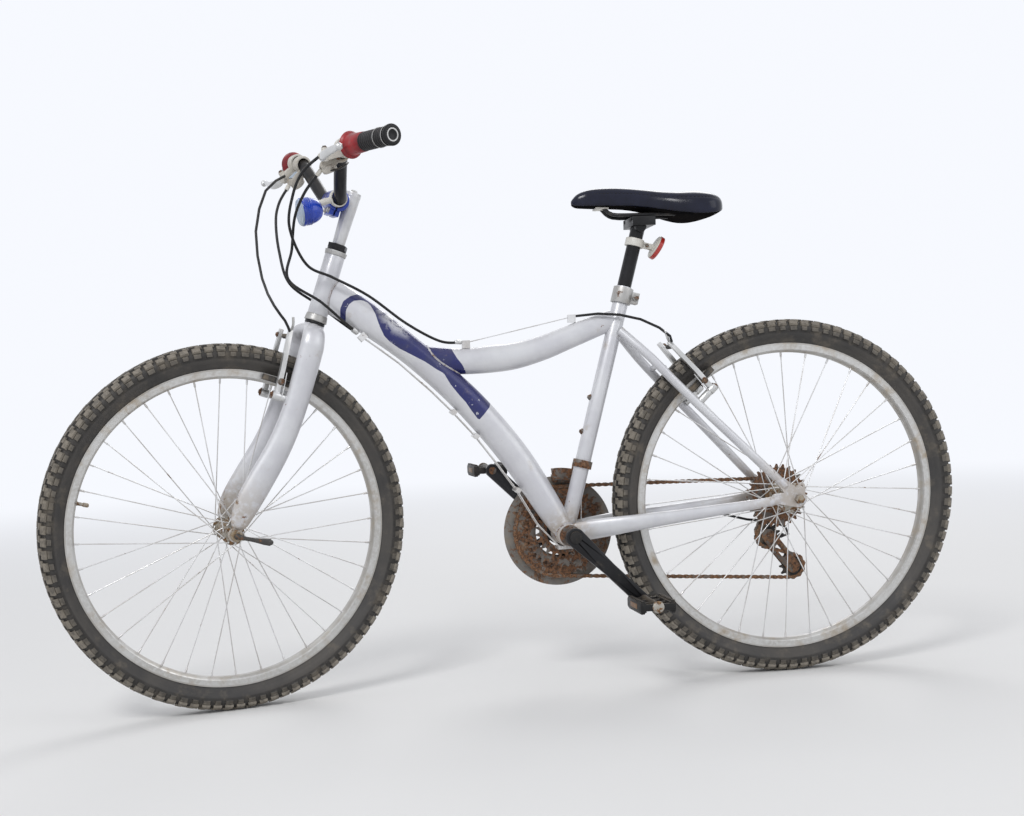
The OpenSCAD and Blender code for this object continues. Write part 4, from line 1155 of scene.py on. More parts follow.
@dataclass
class Saddle:
    """The narrow glossy saddle on two rails, its post, clamp and the tail reflector."""

    rows: tuple[tuple[float, ...], ...] = (
        (174, 2, -8, -11), (171, 6.5, -4, -13.5), (163, 13, 3.5, -16), (146, 18.5, 10, -17),
        (125, 21, 12.2, -18), (98, 23, 12.4, -19), (70, 26, 10.5, -21), (42, 33, 7, -25), (14, 44, 3, -31),
        (-14, 57, 0.6, -37.5), (-42, 67, 0.4, -42), (-66, 68, -2.5, -42), (-84, 58, -8.5, -38.5),
        (-94, 40, -15.5, -34), (-98, 18, -22, -30))
    arch_n: int = 48
    steps: int = 8
    seam_at: float = 0.17
    seam_depth: float = 1.1
    square: float = 0.62
    lip: tuple[Pair, ...] = ((1.0, -1.6), (3.2, -2.0), (4.5, -0.6))
    pan_n: int = 12
    stitch_pitch: float = 4.5
    stitch_l: float = 2.8

    def build(self) -> None:
        """Makes the cover, its seams, the base, the trim and the reflector, and dresses the CAD parts."""
        rows = curve(self.rows, self.steps)
        place = Matrix.Scale(MM, 4)
        cover = piece("saddle_cover", self.cover(rows), place, VINYL, Body.FRAME, sharp=70,
                      replaces=("saddle",))
        piece("saddle_base", self.base(rows), place, UNDERSIDE, Body.FRAME, sharp=60)
        piece("saddle_stitches", self.stitches(rows), place, GRIP, Body.FRAME)
        piece("saddle_trim", self.trim(), place, PALE, Body.FRAME, bevel=0.8)
        dress(ALLOY, "seat_clamp", bevel=0.5)
        dress(BLACK, "seat_post", "saddle_rails", bevel=0.8)
        self.reflector()

    def arch(self, row: Sequence[float], k: float, inset: float = 0.0) -> Vector:
        """A point of the saddle's cross-section.

        Args:
            row: x, half width, top z and skirt z.
            k: From 0 at the left skirt to 1 at the right.
            inset: How far inside the cover it lies.

        Returns:
            The point.
        """
        x, w, top, skirt = row
        w, top = max(w - inset, 0.5), top - inset
        a = math.pi * k
        c, s = math.cos(a), max(math.sin(a), 0.0)
        y = w * math.copysign(abs(c) ** self.square, c)
        return Vector((x, y, skirt + (top - skirt) * s ** self.square))

    def cover(self, rows: Sequence[Sequence[float]]) -> Shape:
        """The padded cover with its sunk seams and an edge rolled under.

        Args:
            rows: The saddle's rows.

        Returns:
            The cover.
        """
        rings = []
        for row in rows:
            fade = min(max((150 - row[0]) / 30, 0.0), 1.0) * min(max((row[0] + 92) / 20, 0.0), 1.0)
            ring = []
            for j in range(self.arch_n + 1):
                k = j / self.arch_n
                p = self.arch(row, k)
                near = min(abs(k - self.seam_at), abs(1 - k - self.seam_at))
                sink = fade * self.seam_depth * math.exp(-((near * self.arch_n / 0.9) ** 2))
                centre = Vector((row[0], 0, row[3]))
                out = (p - centre).normalized() if (p - centre).length > 1 else Vector((0, 0, 1))
                ring.append(p - out * sink)
            lip = [self.arch(row, 1.0, inset) + Vector((0, 0, dz)) for inset, dz in self.lip]
            rings.append(ring + lip + [Vector((p.x, -p.y, p.z)) for p in reversed(lip)])
        return loft(rings)

    def base(self, rows: Sequence[Sequence[float]]) -> Shape:
        """The moulded pan that closes the cover from below.

        Args:
            rows: The saddle's rows.

        Returns:
            The pan.
        """
        rings = []
        for x, w, _, low in rows:
            half = max(w - 2.6, 0.8)
            flat = [half * (2 * k / self.pan_n - 1) for k in range(self.pan_n + 1)]
            under = [(x, y, low - 2.2 - 2.5 * (1 - (y / half) ** 2)) for y in flat]
            rings.append(under + [(x, y, low - 0.4) for y in reversed(flat)])
        return loft(rings)

    def stitches(self, rows: Sequence[Sequence[float]]) -> Shape:
        """Two lines of stitches down the seams.

        Args:
            rows: The saddle's rows.

        Returns:
            The stitches.
        """
        out = Shape()
        for k in (self.seam_at, 1 - self.seam_at):
            line = [self.arch(row, k, 0.5) for row in rows[self.steps * 2:-self.steps * 2]]
            gone = 0.0
            for a, b in zip(line, line[1:]):
                gone += (b - a).length
                if gone > self.stitch_pitch:
                    gone = 0.0
                    way = (b - a).normalized() * self.stitch_l
                    out.join(tube([a, a + way * 0.5, a + way], 0.45, 2, 6))
        return out

    def trim(self) -> Shape:
        """The pale bumper at the back edge, and the clip under the nose, whose pale colour is a painted
        highlight for glints there.
        """
        rear = [(-86, 46, -36), (-94, 26, -31), (-96.5, 0, -29), (-94, -26, -31), (-86, -46, -36)]
        # Painted highlight: the clip's pale colour stands for glints under the nose.
        nose = box((108, 132), (-13, 13), (-25, -12), 1.0)
        return tube(rear, 3.2, 6, 12, (0, 0, 1)).join(nose)

    def reflector(self) -> None:
        """The round tail reflector, a red lens in a cream housing on a band, and the seat clamp's bolt."""
        place = LAYOUT.seat @ shift(0, 0, 543)
        aim = shift(-36, 0, 3) @ turn("Y", -90 - LAYOUT.tail_lean)
        housing = lathe([(0, 0), (17, 0), (20, 1.0), (21.6, 2.6), (21.6, 3.6), (0, 3.6)], 48).at(aim)
        band = collar(12.9, 17, 7, 0.4)
        arm = box((-38, -14), (-6, 6), (-5, 5), 0.6)
        screw = bolt(3.5, 3).at(facing((-22, 6, 0), (0, 1, 0)))
        piece("tail_reflector_housing", Shape().join(housing, band, arm), place, PALE, Body.FRAME, bevel=0.5,
              replaces=("tail_reflector",))
        lens = lathe([(0, 3.6), (21.8, 3.6), (22, 4.4), (22, 10.2), (20.6, 11.5), (12, 12.2), (0, 12.4)], 48)
        piece("tail_reflector_lens", lens.at(aim), place, TAIL_RED, Body.FRAME)
        piece("tail_reflector_screw", screw, place, RUSTY, Body.FRAME)
        pinch = bolt(4.6, 4.0).at(facing((-24, 13.5, 446), (0, 1, 0)))
        piece("seat_clamp_bolt", pinch, LAYOUT.seat, RUSTY, Body.FRAME, bevel=0.3)


# ---- wheels ----


@dataclass
class Wheel:
    """One spoked wheel: knobby tyre, rim with a brake track, crossed spokes and hub.

    The flanges are as far to the left and the right as the pair says, with their holes at hole_r. Carcass
    and inside are rows of radius and half width.
    """

    body: Body
    place: Matrix
    track: Finish
    rubber: Finish
    flanges: Pair
    hole_r: float
    knobs: int = 94
    spokes: int = 36
    rim_r: float = 269.0
    carcass: tuple[Pair, ...] = (
        (283, 10.2), (287, 11.0), (290.5, 13.6), (293, 15.4), (294.5, 16.0), (296, 17.6), (302, 21.0),
        (308, 22.9), (314, 22.8), (319, 20.4), (322.5, 16.0), (324.6, 9.0), (325.2, 0))
    inside: tuple[Pair, ...] = ((284, 6), (290, 8), (300, 15), (310, 18), (319, 12))

    def build(self) -> None:
        """Makes the tyre, nipples, valve and spoke heads, and dresses the CAD rim, spokes and hub."""
        name = self.body.value.split("_")[0]
        outer = [*self.carcass, *((r, -w) for r, w in self.carcass[-2::-1])]
        inner = [*((r, -w) for r, w in self.inside), (321, 0), *self.inside[::-1]]
        tyre = lathe(outer + inner, 144, closed=True).at(ACROSS).join(self.tread())
        piece(name + "_tyre_knobby", tyre, self.place, self.rubber, self.body, sharp=42,
              replaces=(name + "_tyre",))
        dress(self.track, name + "_rim", sharp=30)
        dress(SPOKE, name + "_spokes", sharp=60)
        dress(HUB, name + "_hub", bevel=0.5)
        piece(name + "_nipples", self.nipples(), self.place, SPOKE, self.body, sharp=50)
        piece(name + "_valve", self.valve(), self.place, HUB, self.body)

    def tread(self) -> Shape:
        """The rows of knobs: one or a pair in the middle, then the shoulders and the flanks."""
        out = Shape()
        step = 360.0 / self.knobs
        for k in range(self.knobs):
            a = step * k
            odd = k % 2 == 1
            middle = ((0.0, 11.5, 0.0),) if odd else ((4.8, 6.6, 4.0), (-4.8, 6.6, -4.0))
            for y, wide, lean in middle:
                out.join(self.knob(a, y, 324.3, lean, 11.0, wide, 5.2))
            for s in (1, -1):
                y, wide, lean = (10.6, 7.2, 13) if odd else (12.4, 6.4, 17)
                out.join(self.knob(a + step * 0.5, s * y, 323.2, s * lean, 11.5, wide, 5.4))
                b = a + step * 0.25 * s
                out.join(self.knob(b, s * 17.7, 319.4, s * 42, 14.5, 9.4, 5.8))
                out.join(self.knob(b, s * 21.9, 311.8, s * 74, 11.0 if odd else 13.5, 8.4, 2.4))
        return out

    def knob(self, angle: float, y: float, r: float, lean: float, long: float, wide: float,
             high: float) -> Shape:
        """One block of tread.

        Args:
            angle: Where it is round the tyre.
            y: Its place across the tyre.
            r: Radius of its foot.
            lean: How far it leans outward, in degrees.
            long: Length round the tyre.
            wide: Width across it.
            high: Height.

        Returns:
            The block.
        """
        corners = ((-1, -1), (1, -1), (1, 1), (-1, 1))
        rings = [[(sx * (long / 2 + g), sy * (wide / 2 + g), z) for sx, sy in corners]
                 for g, z in ((0.7, -1.5), (0.0, high - 0.8), (-0.8, high))]
        place = turn("Y", -angle) @ shift(0, y, 0) @ turn("Y", 90) @ shift(0, 0, r) @ turn("X", -lean)
        return loft(rings).at(place)

    def nipples(self) -> Shape:
        """The nipples at the rim and the spokes' heads at the hub."""
        out = Shape()
        half = self.spokes // 2
        step = 360.0 / half
        for side in (0, 1):
            for k in range(half):
                s = 1 if k % 2 == 0 else -1
                a = step * (k + side / 2)
                b = a + s * step * 3
                y = self.flanges[0] if side == 0 else -self.flanges[1]
                out_y = (1 if side == 0 else -1) * s * 3.5
                x0, z0 = polar(self.hole_r, a)
                x1, z1 = polar(self.rim_r, b)
                hub = Vector((x0, y + out_y, z0))
                end = Vector((x1, 2.5 if side == 0 else -2.5, z1))
                way = (hub - end).normalized()
                nipple = lathe([(0, -1), (1.9, -1), (1.9, 7.5), (1.3, 9.5), (0, 9.5)], 8)
                out.join(nipple.at(facing(end, way)))
                head = 1 if out_y > 0 else -1
                out.join(dome(2.0, 1.3, 8, 2).at(facing((x0, y + head * 1.4, z0), (0, head, 0))))
        return out

    def valve(self) -> Shape:
        """The valve stem and its cap."""
        stem = lathe([(0, 0), (3.6, 0), (3.6, 3), (3.0, 4), (3.0, 12), (3.9, 12.5), (3.9, 20), (2.8, 22),
                      (0, 22)], 14)
        return stem.at(turn("Y", 95) @ shift(0, 0, self.rim_r + 1) @ turn("X", 180))


# ---- drivetrain ----


# x, z and radius of a toothed wheel, and 1 or -1 for the way the chain goes round it
Toothed = tuple[float, float, float, int]


@dataclass
class Drivetrain:
    """Chain of real links, rings, guard, cranks, sprockets, derailleurs and their bolts."""

    pitch: float = 12.7
    chain_line: float = 55.0
    wheels: tuple[Toothed, ...] = (
        (421, -45, 84.97, 1), (0, 0, 32.55, 1), (12, -78, 22.54, -1), (-37, -140, 22.54, 1))
    arc_n: int = 60
    plate_r: float = 4.1
    waist: float = 2.5
    coil_r: float = 10.5

    def build(self) -> None:
        """Makes the chain and the small parts, and dresses the CAD parts."""
        piece("chain_links", self.chain(), LAYOUT.bike, CHAIN, Body.FRAME, sharp=50, replaces=("chain",))
        dress(RUSTY, "chainrings", "freewheel", bevel=0.25)
        dress(RUSTY, "crank_spindle", "pedal_axles", "bottom_bracket_cups", "front_derailleur",
              "rear_derailleur", bevel=0.5)
        dress(GUARD, "chain_guard", bevel=0.35)
        dress(BLACK, "left_crank_arm", "right_crank_arm", bevel=1.6)
        dress(PLASTIC, "derailleur_pulleys", bevel=0.3)
        dress(HUB, "rear_axle", bevel=0.5)
        for side, flip in (("left", Matrix.Identity(4)), ("right", MIRROR)):
            cap = lathe([(0, 80.6), (10.5, 80.6), (11.5, 81.5), (11, 83), (4, 84.5), (0, 84.5)], 28)
            cap = cap.at(flip @ ACROSS)
            piece(side + "_crank_cap", cap, LAYOUT.crank(side), PLASTIC, Body.CRANKSET)
        self.ring_bolts()
        self.hardware()

    def run(self, a: Toothed, b: Toothed) -> float:
        """Direction of the chain's straight run from one wheel to the next, in radians."""
        x, z = b[0] - a[0], b[1] - a[1]
        return math.atan2(z, x) + math.asin((a[3] * a[2] - b[3] * b[2]) / math.hypot(x, z))

    def loop(self) -> list[Vector]:
        """The chain's closed line as many short pieces."""
        points = []
        for k, w in enumerate(self.wheels):
            a = self.run(self.wheels[k - 1], w)
            b = self.run(w, self.wheels[(k + 1) % len(self.wheels)])
            x, z, r, sense = w
            turned = sense * ((sense * (b - a)) % (2 * math.pi))
            for j in range(self.arc_n + 1):
                c = a + turned * j / self.arc_n
                points.append(Vector((x + sense * r * math.sin(c), 0, z - sense * r * math.cos(c))))
        return points

    def pins(self) -> list[Vector]:
        """The pins' places, evenly spaced round the loop."""
        line = self.loop()
        line.append(line[0])
        lengths = [(b - a).length for a, b in zip(line, line[1:])]
        count = 2 * round(sum(lengths) / self.pitch / 2)
        step = sum(lengths) / count
        pins, gone, target = [], 0.0, 0.0
        for a, b, length in zip(line, line[1:], lengths):
            while length > 0 and target <= gone + length and len(pins) < count:
                pins.append(a.lerp(b, (target - gone) / length))
                target += step
            gone += length
        return pins

    def chain(self) -> Shape:
        """The links: inner and outer plates in turn, rollers and pin ends."""
        out = Shape()
        pins = self.pins()
        for i, a in enumerate(pins):
            b = pins[(i + 1) % len(pins)]
            way = b - a
            place = shift(a.x, -self.chain_line, a.z) @ turn("Y", -math.degrees(math.atan2(way.z, way.x)))
            low, high = (2.45, 3.15) if i % 2 else (1.65, 2.35)
            outline = self.link(way.length)
            for s in (1, -1):
                out.join(plate(outline, *sorted((s * low, s * high))).at(place))
            roller = lathe([(0, -1.6), (3.8, -1.6), (3.8, 1.6), (0, 1.6)], 12)
            pin = lathe([(0, -3.6), (1.5, -3.6), (1.8, -3.3), (1.8, 3.3), (1.5, 3.6), (0, 3.6)], 8)
            out.join(roller.join(pin).at(place @ ACROSS))
        return out

    def link(self, length: float) -> list[Pair]:
        """A link plate's waisted outline."""
        left = [polar(self.plate_r, 60 + 60 * k) for k in range(5)]
        right = [(length - x, -z) for x, z in left]
        return [*left, (length / 2, -self.waist), *right, (length / 2, self.waist)]

    def ring_bolts(self) -> None:
        """Bolt heads on the spider and the guard."""
        place = LAYOUT.crank("right")
        out = Shape()
        for k in range(5):
            x, z = polar(55, -72 * (k + 1))
            out.join(dome(4.6, 1.8, 16, 3).at(facing((x, -66.9, z), (0, -1, 0))))
        piece("guard_bolts", out, place, RUSTY, Body.CRANKSET)

    def hardware(self) -> None:
        """Bolts, spring and adjuster of the derailleurs."""
        place = LAYOUT.bike
        out = Shape()
        for x, z, y in ((9, -30, -86), (13, -42, -86), (18, -70, -80), (12, -78, -61.2), (-37, -140, -61.2)):
            out.join(bolt(5.0, 3.0, 6.2).at(facing((x, y, z), (0, -1, 0))))
        for x, z in ((12, -78), (-37, -140)):
            out.join(bolt(3.6, 2.0).at(facing((x, -48.9, z), (0, 1, 0))))
        piece("derailleur_bolts", out, place, RUSTY, Body.FRAME, bevel=0.25)
        coil = [(18 + self.coil_r * math.cos(t * 0.7), -80.2 + 0.35 * t,
                 -70 + self.coil_r * math.sin(t * 0.7))
                for t in range(28)]
        piece("derailleur_spring", tube(coil, 0.8, 2, 8), place, RUSTY, Body.FRAME)
        barrel = lathe([(0, 0), (3.6, 0), (4.2, 1), (4.2, 8), (3, 10), (0, 10)], 12)
        barrel = barrel.at(facing((-18, -72, -82), (-1, 0, 0.1)))
        piece("derailleur_adjuster", barrel, place, HOUSING, Body.FRAME)
        band = LAYOUT.seat @ shift(0, 0, 125)
        pinch = bolt(4.5, 4, 5.5).at(facing((2, 18, 7), (0.3, 1, 0)))
        piece("front_derailleur_bolt", pinch, band, RUSTY, Body.FRAME, bevel=0.3)


@dataclass
class Pedal:
    """A worn plastic pedal with two tread bars and a round end cap."""

    side: str
    inner: float = 86.0
    width: float = 92.0
    teeth: int = 9
    tooth_pitch: float = 9.2
    tooth_z: float = 10.2

    def build(self) -> None:
        """Makes the pedal's body, ribs and cap."""
        flip = Matrix.Identity(4) if self.side == "left" else MIRROR
        body = Body.LEFT_PEDAL if self.side == "left" else Body.RIGHT_PEDAL
        y0, y1 = self.inner, self.inner + self.width
        place = LAYOUT.pedal(self.side)
        core = [(4.7, 0.5), (9.5, 0.5), (10.5, 2), (9.0, 8), (8.2, 40), (9.0, self.width - 8),
                (10.5, self.width - 3), (4.7, self.width - 3)]
        shape = lathe(core, 28, closed=True).at(shift(0, y0, 0) @ ACROSS)
        for s in (1, -1):
            rail = [(21, -8.5), (30.5, -10), (32, -6), (32, 6), (30.5, 10), (21, 8.5)]
            shape.join(plate([(s * x, z) for x, z in rail], y0 + 4, y1 - 4))
            for k in range(self.teeth):
                y = y0 + 9 + k * self.tooth_pitch
                for z in (self.tooth_z, -self.tooth_z):
                    tooth = [(s * x, z * f) for x, f in ((23, 0.8), (31, 0.9), (30, 1.16), (24, 1.1))]
                    shape.join(plate(tooth, y, y + self.tooth_pitch / 2))
        for y in (y0 + 2, y0 + 30, y0 + 58, y1 - 8):
            shape.join(plate([(-29, -6), (29, -6), (29, 6), (-29, 6)], y, y + 5))
        piece(self.side + "_pedal_cage", shape.at(flip), place, PLASTIC, body, bevel=0.6,
              replaces=(self.side + "_pedal",))
        cap = lathe([(0, 0), (10.5, 0), (11, 1), (10.4, 3.4), (8, 4.8), (0, 5.0)], 32)
        cap = cap.at(shift(0, y1 - 5.5, 0) @ ACROSS)
        piece(self.side + "_pedal_cap", cap.at(flip), place, HUB, body)
        for label, x in (("front", 31.2), ("rear", -31.2)):
            lamp = box((x - 1.6, x + 1.6), (y0 + 26, y0 + 66), (-4.5, 4.5))
            piece(f"{self.side}_pedal_reflector_{label}", lamp.at(flip), place, AMBER, body, bevel=0.6)


# ---- brakes and cables ----


@dataclass
class Brakes:
    """Front and rear brake arms with their pads, and the bolts, noodles, boots, wires and springs."""

    front_off: float = -1.0
    rear_off: float = 36.0
    boss_r: float = 253.0
    arm_l: float = 108.0

    def build(self) -> None:
        """Dresses the arms and pads, and makes the small parts on them."""
        dress(BRIGHT, "front_brake_arms", "rear_brake_arms", bevel=1.0)
        dress(PADS, "front_brake_pads", "rear_brake_pads", bevel=1.4)
        self.end("front", LAYOUT.front_hub, self.front_off, Body.FORK, 279)
        self.end("rear", LAYOUT.stays, self.rear_off, Body.FRAME, 275)

    def end(self, name: str, place: Matrix, off: float, body: Body, track: float) -> None:
        """The small parts of one pair of arms.

        Args:
            name: front or rear.
            place: The frame with Z through the pivots.
            off: How far the arms stand off the wheel's middle plane along X.
            body: What they move with.
            track: Height of the brake track.
        """
        top = self.boss_r + self.arm_l
        tips = off + 5.5
        bolts = Shape()
        for s in (1, -1):
            bolts.join(bolt(4.5, 3.5, 7.0).at(facing((off + 7.1, s * 40, self.boss_r), (1, 0, 0))))
            bolts.join(bolt(4.0, 4.0, 6.0).at(facing((off - 0.5, s * 46.5, track), (0, s, 0))))
        bolts.join(bolt(3.6, 3.2, 5.0).at(facing((tips + 4.6, -30, top - 2), (1, 0, 0))))
        piece(name + "_brake_bolts", bolts, place, RUSTY, body, bevel=0.25)
        noodle = tube([(tips, 30, top - 4), (tips, 31, top + 6), (tips + 1, 40, top + 17),
                       (tips + 6, 44, top + 30)], 2.4)
        piece(name + "_brake_noodle", noodle, place, BRIGHT, body)
        fold = [(2.2, 0)] + [(3.2 + 1.2 * (k % 2), 3 + 3.2 * k) for k in range(9)] + [(2.2, 32)]
        boot = lathe([(0, 0), *fold, (0, 32)], 20).at(facing((tips, 24, top - 3), (0, -1, 0)))
        piece(name + "_brake_boot", boot, place, PADS, body, sharp=60)
        wire = tube([(tips, 26, top - 3), (tips, 0, top - 3), (tips, -31, top - 3), (tips, -35, top - 9),
                     (tips, -36, top - 20)], 0.8, 4, 8)
        piece(name + "_brake_wire", wire, place, SPOKE, body)
        springs = Shape()
        for s in (1, -1):
            line = ((off - 9, 44, -6), (off - 9, 46, 12), (off - 6, 45, 44))
            springs.join(tube([(x, s * y, self.boss_r + z) for x, y, z in line], 0.9, 5, 8))
        piece(name + "_brake_springs", springs, place, SPOKE, body)


@dataclass
class Cables:
    """The cables and housings, with the long front ones curving from the bar to the frame."""

    brake: tuple[Triple, ...] = ((108, 123, 650), (124, 104, 618), (124, 84, 580), (108, 62, 530))
    brake_frame: tuple[Triple, ...] = (
        (872, 47, 456), (826, 32, 433), (766, 28, 400), (700, 16, 350), (640, 5, 317), (600, 0, 313))
    left: tuple[Triple, ...] = ((98, 104, 624), (106, 84, 590), (104, 60, 550), (88, 40, 500))
    left_frame: tuple[Triple, ...] = ((905, 62, 430), (850, 33, 392), (812, 20, 358), (786, 9, 337))
    right: tuple[Triple, ...] = ((92, -104, 616), (102, -88, 585), (104, -64, 550), (88, -44, 500))
    right_frame: tuple[Triple, ...] = ((902, -8, 430), (852, -30, 392), (812, -20, 358), (786, -9, 337))
    housing_r: float = 2.5

    def build(self) -> None:
        """Makes the curved housings and the adjusters, and dresses the CAD cables."""
        dress(SPOKE, "frame_cables", sharp=40)
        dress(HOUSING, "rear_brake_housing", "front_brake_cable", sharp=40)
        self.housing("rear_brake_front_housing", self.brake, self.brake_frame, "brake_front_housing")
        self.housing("left_gear_housing", self.left, self.left_frame, "gear_front_housings")
        self.housing("right_gear_housing", self.right, self.right_frame, None)
        self.adjusters()

    def housing(self, name: str, fork: Sequence[Triple], on_frame: Sequence[Triple],
                node: str | None) -> None:
        """One housing from the bar to its stop on the frame.

        Args:
            name: The piece's name.
            fork: Its points on the steered side, in the fork's frame.
            on_frame: Its points on the frame's side, from the rear axle.
            node: The CAD node that it stands for, or None where another piece does.
        """
        points = [LAYOUT.fork @ Vector(p) for p in fork] + [LAYOUT.bike @ Vector(p) for p in on_frame]
        shape = tube([p * 1000 for p in points], self.housing_r, 10, 12)
        made = piece(name, shape, Matrix.Scale(MM, 4), HOUSING, None, sharp=50,
                     replaces=(node,) if node else ())
        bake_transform(made)

    def adjusters(self) -> None:
        """Pale barrel adjusters and ferrules at the housings' ends."""
        barrel = lathe([(0, 0), (3.2, 0), (3.9, 1.2), (3.9, 11), (3.0, 12.5), (0, 12.5)], 14)
        out = Shape()
        for points in (self.brake, self.left, self.right):
            a, b = Vector(points[0]), Vector(points[1])
            out.join(barrel.at(facing(a - (b - a).normalized() * 9, b - a)))
        piece("lever_adjusters", out, LAYOUT.fork, PALE, Body.FORK)
        stops = Shape()
        for points in (self.brake_frame, self.left_frame, self.right_frame):
            a, b = Vector(points[-1]), Vector(points[-2])
            stops.join(barrel.at(facing(a, b - a)))
        piece("stop_ferrules", stops, LAYOUT.bike, BRIGHT, Body.FRAME)


# ---- steering ----


@dataclass
class Fork:
    """The painted unicrown fork, headset, quill stem and front axle.

    The line's rows are x, y, z, and the blade's radius sideways and fore and aft.
    """

    line: tuple[tuple[float, ...], ...] = (
        (42, 54, 12, 4, 9), (41.5, 53.5, 22, 7, 16), (37, 51, 55, 11, 22), (25, 48, 105, 13, 23.5),
        (12, 46.5, 160, 14.5, 22.5), (5, 46, 210, 14.5, 21.5), (3, 46, 260, 14.5, 21),
        (4, 46, 300, 14.5, 21.5), (5, 46, 345, 14.5, 21.5), (6, 45, 360, 14.5, 21), (6, 38, 374, 14, 20),
        (4, 24, 381, 13, 19), (1, 0, 382, 12.5, 18), (0, -8, 382, 12.5, 18))
    collar: Pair = (376.5, 394.5)
    collar_r: float = 18.0

    def build(self) -> None:
        """Makes the blades with their bent shoulders and the bolts, and dresses the CAD parts."""
        place = LAYOUT.fork
        rows = curve(self.line, 8)
        rings = swept(rows, [p[3] for p in rows], [p[4] for p in rows], (0, 1, 0), 48)
        blade = loft(rings)
        low, top = self.collar
        r = self.collar_r
        ring = lathe([(13, low), (r - 1, low), (r, low + 1), (r, top - 1.2), (r - 1.2, top), (13, top)], 48,
                     closed=True)
        painted = Shape().join(blade, blade.at(MIRROR), ring)
        piece("fork_painted", painted, place, PAINT, Body.FORK, sharp=50,
              replaces=("fork_blades", "fork_crown"))
        dress(PAINT, "fork_dropouts", bevel=1.2)
        dress(ALLOY, "fork_steerer", "headset_cups", bevel=0.7)
        dress(BLACK, "headset_nuts", bevel=0.7)
        dress(PALE_STEM, "stem", bevel=0.8)
        dress(CLAMP_BLUE, "stem_clamp", bevel=1.4)
        dress(BLACK, "handlebar", sharp=40)
        pinch = bolt(6.0, 5.0, 7.5).at(shift(0, 0, 634))
        for y in (-9, 9):
            pinch.join(bolt(4.2, 4.0, 5.4).at(facing((37, y, 590), (1, 0, 0))))
        piece("stem_bolts", pinch, place, ALLOY, Body.FORK, bevel=0.4)
        self.release()

    def release(self) -> None:
        """The front axle with its quick release: a cam, a thin bent lever and an adjusting nut."""
        axle = lathe([(0, -62), (4.4, -62), (4.4, 62), (0, 62)], 20)
        washer = lathe([(4.4, -1.4), (7.8, -1.4), (7.8, 1.4), (4.4, 1.4)], 24, closed=True)
        cones = [washer.at(shift(0, 0, z)) for z in (-48.4, 48.4)]
        cam = lathe([(4.4, 56.6), (9.4, 56.6), (10.6, 58), (10.6, 65.5), (9.6, 67), (4.4, 67)], 32,
                    closed=True)
        nut = lathe([(0, -71), (7, -70.5), (10.4, -66), (10.6, -58), (9.4, -56.6), (0, -56.6)], 8)
        piece("front_axle_release", axle.join(*cones, cam, nut).at(ACROSS), LAYOUT.front_hub, HUB, Body.FORK,
              bevel=0.5, replaces=("front_axle",))
        path = curve([(0, 68, 0), (-14, 69.5, 0.5), (-30, 72, 2), (-46, 75, 4), (-58, 77.5, 6)], 6)
        m = len(path) - 1
        shares = [i / m for i in range(m + 1)]
        wide = [5.2 - 1.7 * math.sin(math.pi * min(u * 1.3, 1.0)) + 1.2 * u ** 3 for u in shares]
        lever = loft(swept(path, wide, [2.3] * (m + 1), (0, 0, 1), 20))
        ends = Shape()
        for point, r in ((path[0], 5.4), (path[-1], 4.9)):
            for way in (1, -1):
                ends.join(dome(r, 2.6).at(facing(point, (0, way, 0))))
        piece("front_release_lever", lever.join(ends), LAYOUT.front_hub, LEVER, Body.FORK, sharp=50)


